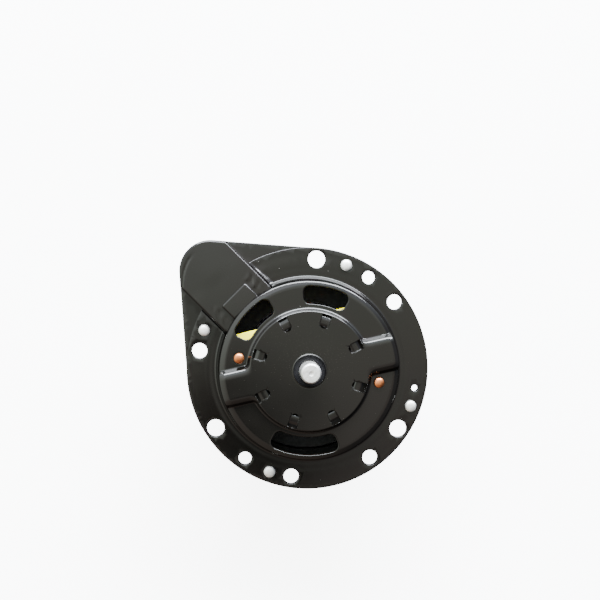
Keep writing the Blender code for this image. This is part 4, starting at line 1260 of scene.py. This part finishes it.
def make_terminals():
    """A socket on the can's side, open below, with a blade through each of its slits."""
    low, high = heights("terminal_socket")
    inner = CAN_R + GAP
    outer = inner + SOCKET_DEPTH
    half = SOCKET_WIDTH / 2
    turn = along(SOCKET_ANGLE)
    outline = rounded(inner, -half, outer, half, 1.2)
    shell = slab("terminal_housing", "terminal_socket", outline, low, high, 0.3, 0.5, turn)
    pocket = rounded(inner + SOCKET_WALL, SOCKET_WALL - half, outer - SOCKET_WALL, half - SOCKET_WALL, 0.6)
    tools = [lofted([(pocket, low - 1.0), (pocket, high - 2.0)])]
    middle = (inner + outer) / 2
    for centre in (-BLADE_OFFSET, BLADE_OFFSET):
        near, far = centre - SLIT_HALF_SHEET, centre + SLIT_HALF_SHEET
        slit = rounded(middle - SLIT_HALF, near, middle + SLIT_HALF, far, 0.15, 2)
        tools.append(lofted([(slit, high - 3.0), (slit, high + 1.0)]))
    combine(shell, [placed(tool, turn) for tool in tools], "DIFFERENCE")
    stand_in(shell, "terminal_socket")
    for number, centre in enumerate((-BLADE_OFFSET, BLADE_OFFSET), 1):
        node = f"terminal_blade_{number}"
        bottom, top = heights(node)
        tab = [(-BLADE_HALF, bottom + 1.2), (-2.3, bottom), (2.3, bottom), (BLADE_HALF, bottom + 1.2)]
        tab += [(BLADE_HALF, top), (-BLADE_HALF, top)]
        upright = shift(middle, centre) @ Matrix.Rotation(radians(90.0), 4, "X")
        sides = -BLADE_HALF_SHEET, BLADE_HALF_SHEET
        stand_in(slab(node + "_tab", node, tab, *sides, 0.12, 0.12, turn @ upright), node)


# ---------------------------------------------------------------- fan wheel

VANE_COUNT = 14
VANE_R = (19.0, 39.6)
VANE_SWEEP = 38.0
WHEEL_SHEET = 1.2
EYE_R = 24.0
HUB_R = 8.5
SET_SCREW_Z = -56.0
FAN_STEPS = 180


def vane_outline(grow):
    """A curved vane that thins towards its outer end."""
    inner, outer = VANE_R
    steps = 26
    sides = ([], [])
    for i in range(steps + 1):
        share = i / steps
        radius = inner + (outer - inner) * share
        angle = -VANE_SWEEP * share**1.4
        taper = sqrt(max(0.02, 1.0 - (2.0 * share - 1.0) ** 10))
        for side, sign in zip(sides, (-1.0, 1.0)):
            half = (0.66 - 0.12 * share) * taper + grow
            side.append(polar(radius, angle + degrees(sign * half / radius)))
    return sides[0] + sides[1][::-1]


def make_fan_wheel():
    low, high = heights("impeller_wheel")
    wheel_r = reach("impeller_wheel")[1][0]
    back = high - WHEEL_SHEET
    section = rectangle(HUB_R + GAP, back, wheel_r, high)
    wheel = turned("impeller_casting", "impeller_wheel", section, FAN_STEPS, 0.35)
    levels = [(-0.25, low), (-0.07, low + 0.1), (0.0, low + 0.3), (0.08, back - 0.9), (0.3, back - 0.35)]
    levels += [(0.75, back - 0.02), (0.75, back + 0.5)]
    vane = lofted([(vane_outline(grow), z) for grow, z in levels])
    combine(wheel, [placed(vane, along(360.0 * n / VANE_COUNT)) for n in range(VANE_COUNT)], "UNION")
    stand_in(wheel, "impeller_wheel")

    low, high = heights("impeller_shroud")
    section = [(EYE_R, low), (EYE_R + 1.0, low), (EYE_R + 1.8, high - 1.0), (wheel_r, high - 1.0)]
    section += [(wheel_r, high), (EYE_R + 1.0, high)]
    stand_in(turned("impeller_ring", "impeller_shroud", section, FAN_STEPS, 0.45), "impeller_shroud")


def make_hub():
    low, high = heights("impeller_hub")
    flange_r = reach("impeller_hub")[1][0]
    bore = SHAFT_R + GAP
    section = [(bore, low), (HUB_R, low), (HUB_R, high - WHEEL_SHEET), (flange_r, high - WHEEL_SHEET)]
    section += [(flange_r, high), (bore, high)]
    hub = turned("impeller_boss", "impeller_hub", section, 96, 0.4)
    at = radial(0.0, SET_SCREW_Z)
    combine(hub, [placed(pin(2.3, SHAFT_R - 1.0, HUB_R + 1.0, 40), at)], "DIFFERENCE")
    stand_in(hub, "impeller_hub")
    section = [(0.0, bore), (1.7, bore), (2.0, bore + 0.3), (2.0, HUB_R - 0.5), (1.7, HUB_R - 0.2)]
    section += [(0.0, HUB_R - 0.2)]
    screw = turned("set_screw_body", "hub_set_screw", section, 40, 0.08, at)
    combine(screw, [placed(pin(1.1, HUB_R - 1.8, HUB_R + 1.0, 6), at)], "DIFFERENCE")
    stand_in(screw, "hub_set_screw")


ROUNDING = {
    "armature_core": 0.12,
    "commutator": 0.12,
    "brush_holder": 0.15,
    "magnet": 0.3,
    "choke": 0.2,
    "brush": 0.2,
}


def soften_the_rest():
    """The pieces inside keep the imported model's mesh, and these kinds have their edges rounded."""
    for node, piece in frame["nodes"].items():
        width = ROUNDING.get(node.rstrip("_12"))
        if width:
            modifier = piece.modifiers.new("edges", "BEVEL")
            modifier.width = width * MM
            modifier.segments = 2
            modifier.limit_method = "ANGLE"
            modifier.angle_limit = radians(35.0)
            modifier.harden_normals = False


# ---------------------------------------------------------------- floor, light, camera

FLOOR_R = 6.0
FLOOR_GLOW = 6.0


def make_floor(height):
    """A bright sheet that isn't mirrored in the fan."""
    place = (0.0, 0.0, height)
    bpy.ops.mesh.primitive_circle_add(vertices=96, radius=FLOOR_R, fill_type="NGON", location=place)
    floor = bpy.context.object
    floor.name = "floor"
    made = Shading("floor")
    made.feed("Base Color", made.mix(made.noise(0.7, 1.0), (0.88, 0.88, 0.88), (0.90, 0.90, 0.90)))
    made.shader.inputs["Roughness"].default_value = 0.9
    made.shader.inputs["Emission Color"].default_value = (1.0, 1.0, 1.0, 1.0)
    made.shader.inputs["Emission Strength"].default_value = FLOOR_GLOW
    floor.data.materials.append(made.material)
    floor.visible_glossy = False
    floor.visible_diffuse = False


# The ceiling's colours, from the back of the room to the window's side
CEILING = (
    (-0.22, (0.66, 0.59, 0.54)),
    (-0.17, (0.84, 0.79, 0.72)),
    (-0.09, (1.01, 1.03, 0.90)),
    (0.00, (1.12, 1.19, 1.04)),
    (0.04, (1.47, 1.55, 1.40)),
    (0.20, (1.95, 2.10, 1.98)),
)
# The walls, by direction in degrees: plaster, then the dark side, the window, and plaster again
WALLS = (
    (-180.0, (0.75, 0.64, 0.55)),
    (-135.0, (0.46, 0.35, 0.29)),
    (-105.0, (0.09, 0.08, 0.09)),
    (-60.0, (0.17, 0.19, 0.23)),
    (-25.0, (0.42, 0.46, 0.54)),
    (0.0, (1.8, 2.0, 2.2)),
    (60.0, (3.6, 3.9, 4.1)),
    (100.0, (3.0, 3.2, 3.1)),
    (135.0, (2.2, 2.4, 2.1)),
    (180.0, (0.75, 0.64, 0.55)),
)
# Light from beyond the table, low down
SILL = (
    (-180.0, (0.0, 0.0, 0.0)),
    (-30.0, (0.0, 0.0, 0.0)),
    (5.0, (3.6, 4.0, 4.4)),
    (80.0, (3.6, 4.0, 4.4)),
    (115.0, (0.5, 0.5, 0.5)),
    (150.0, (0.0, 0.0, 0.0)),
    (180.0, (0.0, 0.0, 0.0)),
)
ROOM_SIDE = (0.50, 0.866, 0.0)
FAR_SIDE = (0.106, -0.106, 0.0)
SHADE_SIDE = (-0.147, -0.092, 0.985)  # where somebody stands over the fan
SHADE_SIZE = (0.03, 0.155)
SHADE_LIGHT = 0.11
# Heights between which each part of the room fades in or out, on a sphere of radius 1
WALL_FOOT = (-0.02, 0.20)
GLOW_FOOT = (-0.35, -0.05)
GLOW_TOP = (0.05, 0.30)
CEILING_EDGE = (0.905, 0.965)
LOW_LIGHT = 0.015
LIGHT_PLACE = (1.00, 0.80, 0.85)
LIGHT_SIZE = (1.8, 0.8)
LIGHT_POWER = 210.0
LIGHT_COLOUR = (0.92, 0.96, 1.0)
# The camera stands a little off the shaft's axis and is turned 45 degrees round it
EYE = (8.92, 37.12, 380.0)
AIM = (17.76, 22.0, 0.0)
ROLL = 45.0
LENS = 54.90
SHIFT = (-0.0006, 0.0004)


def make_world():
    """A room with a window on one side, a dim ceiling with a shaded patch, and darkness below."""
    world = bpy.data.worlds.new("room")
    bpy.context.scene.world = world
    world.use_nodes = True
    tree = world.node_tree
    place = add_node(tree, "TexCoord", {}).outputs["Generated"]
    x, y, height = add_node(tree, "SeparateXYZ", {0: place}).outputs

    def math(operation, first, second):
        return add_node(tree, "Math", {0: first, 1: second}, operation=operation).outputs[0]

    def vector(operation, first, second, key=1):
        return add_node(tree, "VectorMath", {0: first, key: second}, operation=operation).outputs

    def eased(value, *limits):
        inputs = dict(enumerate((value, *limits)))
        return add_node(tree, "MapRange", inputs, interpolation_type="SMOOTHSTEP").outputs[0]

    def scaled(colour, factor):
        return vector("SCALE", colour, factor, "Scale")[0]

    def ramp(value, stops, low, high):
        """A colour ramp holds no more than 1, so its colours are shares of the brightest."""
        peak = max(max(colour) for _, colour in stops)
        share = add_node(tree, "MapRange", {0: value, 1: low, 2: high}).outputs[0]
        made = add_node(tree, "ValToRGB", {0: share})
        steps = made.color_ramp.elements
        for number, (where, colour) in enumerate(stops):
            step = steps[number] if number < 2 else steps.new(1.0)
            step.position = (where - low) / (high - low)
            step.color = (*(c / peak for c in colour), 1.0)
        return vector("MULTIPLY", made.outputs[0], (peak, peak, peak))[0]

    def all_round(stops):
        return ramp(turn, [(radians(angle), colour) for angle, colour in stops], -pi, pi)

    turn = math("ARCTAN2", y, x)
    across = vector("DOT_PRODUCT", place, ROOM_SIDE)["Value"]
    shade = vector("DISTANCE", place, SHADE_SIDE)["Value"]
    ceiling = scaled(ramp(across, CEILING, -0.3, 0.3), eased(shade, *SHADE_SIZE, SHADE_LIGHT, 1.0))
    walls = scaled(all_round(WALLS), eased(height, *WALL_FOOT, LOW_LIGHT, 1.0))
    glow = scaled(all_round(SILL), eased(height, *GLOW_FOOT, 0.0, 1.0))
    walls = vector("ADD", walls, scaled(glow, eased(height, *GLOW_TOP, 1.0, 0.0)))[0]
    tilted = math("ADD", height, vector("DOT_PRODUCT", place, FAR_SIDE)["Value"])
    share = eased(tilted, *CEILING_EDGE, 0.0, 1.0)
    mixed = add_node(tree, "Mix", {0: share, 6: walls, 7: ceiling}, data_type="RGBA").outputs[2]
    tree.links.new(mixed, tree.nodes["Background"].inputs["Color"])


def make_light():
    """The window, pointing at the fan."""
    data = bpy.data.lights.new("window", "AREA")
    data.shape = "RECTANGLE"
    data.size, data.size_y = LIGHT_SIZE
    data.energy = LIGHT_POWER
    data.color = LIGHT_COLOUR
    light = bpy.data.objects.new("window", data)
    light.location = LIGHT_PLACE
    light.rotation_euler = (-Vector(LIGHT_PLACE)).to_track_quat("-Z", "Y").to_euler()
    bpy.context.scene.collection.objects.link(light)


def make_camera():
    data = bpy.data.cameras.new("camera")
    data.sensor_width = 36.0
    data.lens = LENS
    data.shift_x, data.shift_y = SHIFT
    data.clip_start, data.clip_end = 0.01, 50.0
    camera = bpy.data.objects.new("camera", data)
    eye, aim = Vector(EYE) * MM, Vector(AIM) * MM
    back = (eye - aim).normalized()
    up = Vector((cos(radians(ROLL)), sin(radians(ROLL)), 0.0))
    right = up.cross(back).normalized()
    up = back.cross(right)
    camera.matrix_world = Matrix.Translation(eye) @ Matrix((right, up, back)).transposed().to_4x4()
    bpy.context.scene.collection.objects.link(camera)
    bpy.context.scene.camera = camera


def main():
    make_camera()
    for node, piece in frame["nodes"].items():
        piece.data.materials.clear()
        piece.data.materials.append(finish_of(node))
    make_plate()
    make_flange()
    make_can()
    make_rivets()
    make_shaft()
    make_bearings()
    make_card()
    make_springs()
    make_drive_end()
    make_terminals()
    make_fan_wheel()
    make_hub()
    soften_the_rest()
    make_floor(cad_low[2])
    make_world()
    make_light()


main()
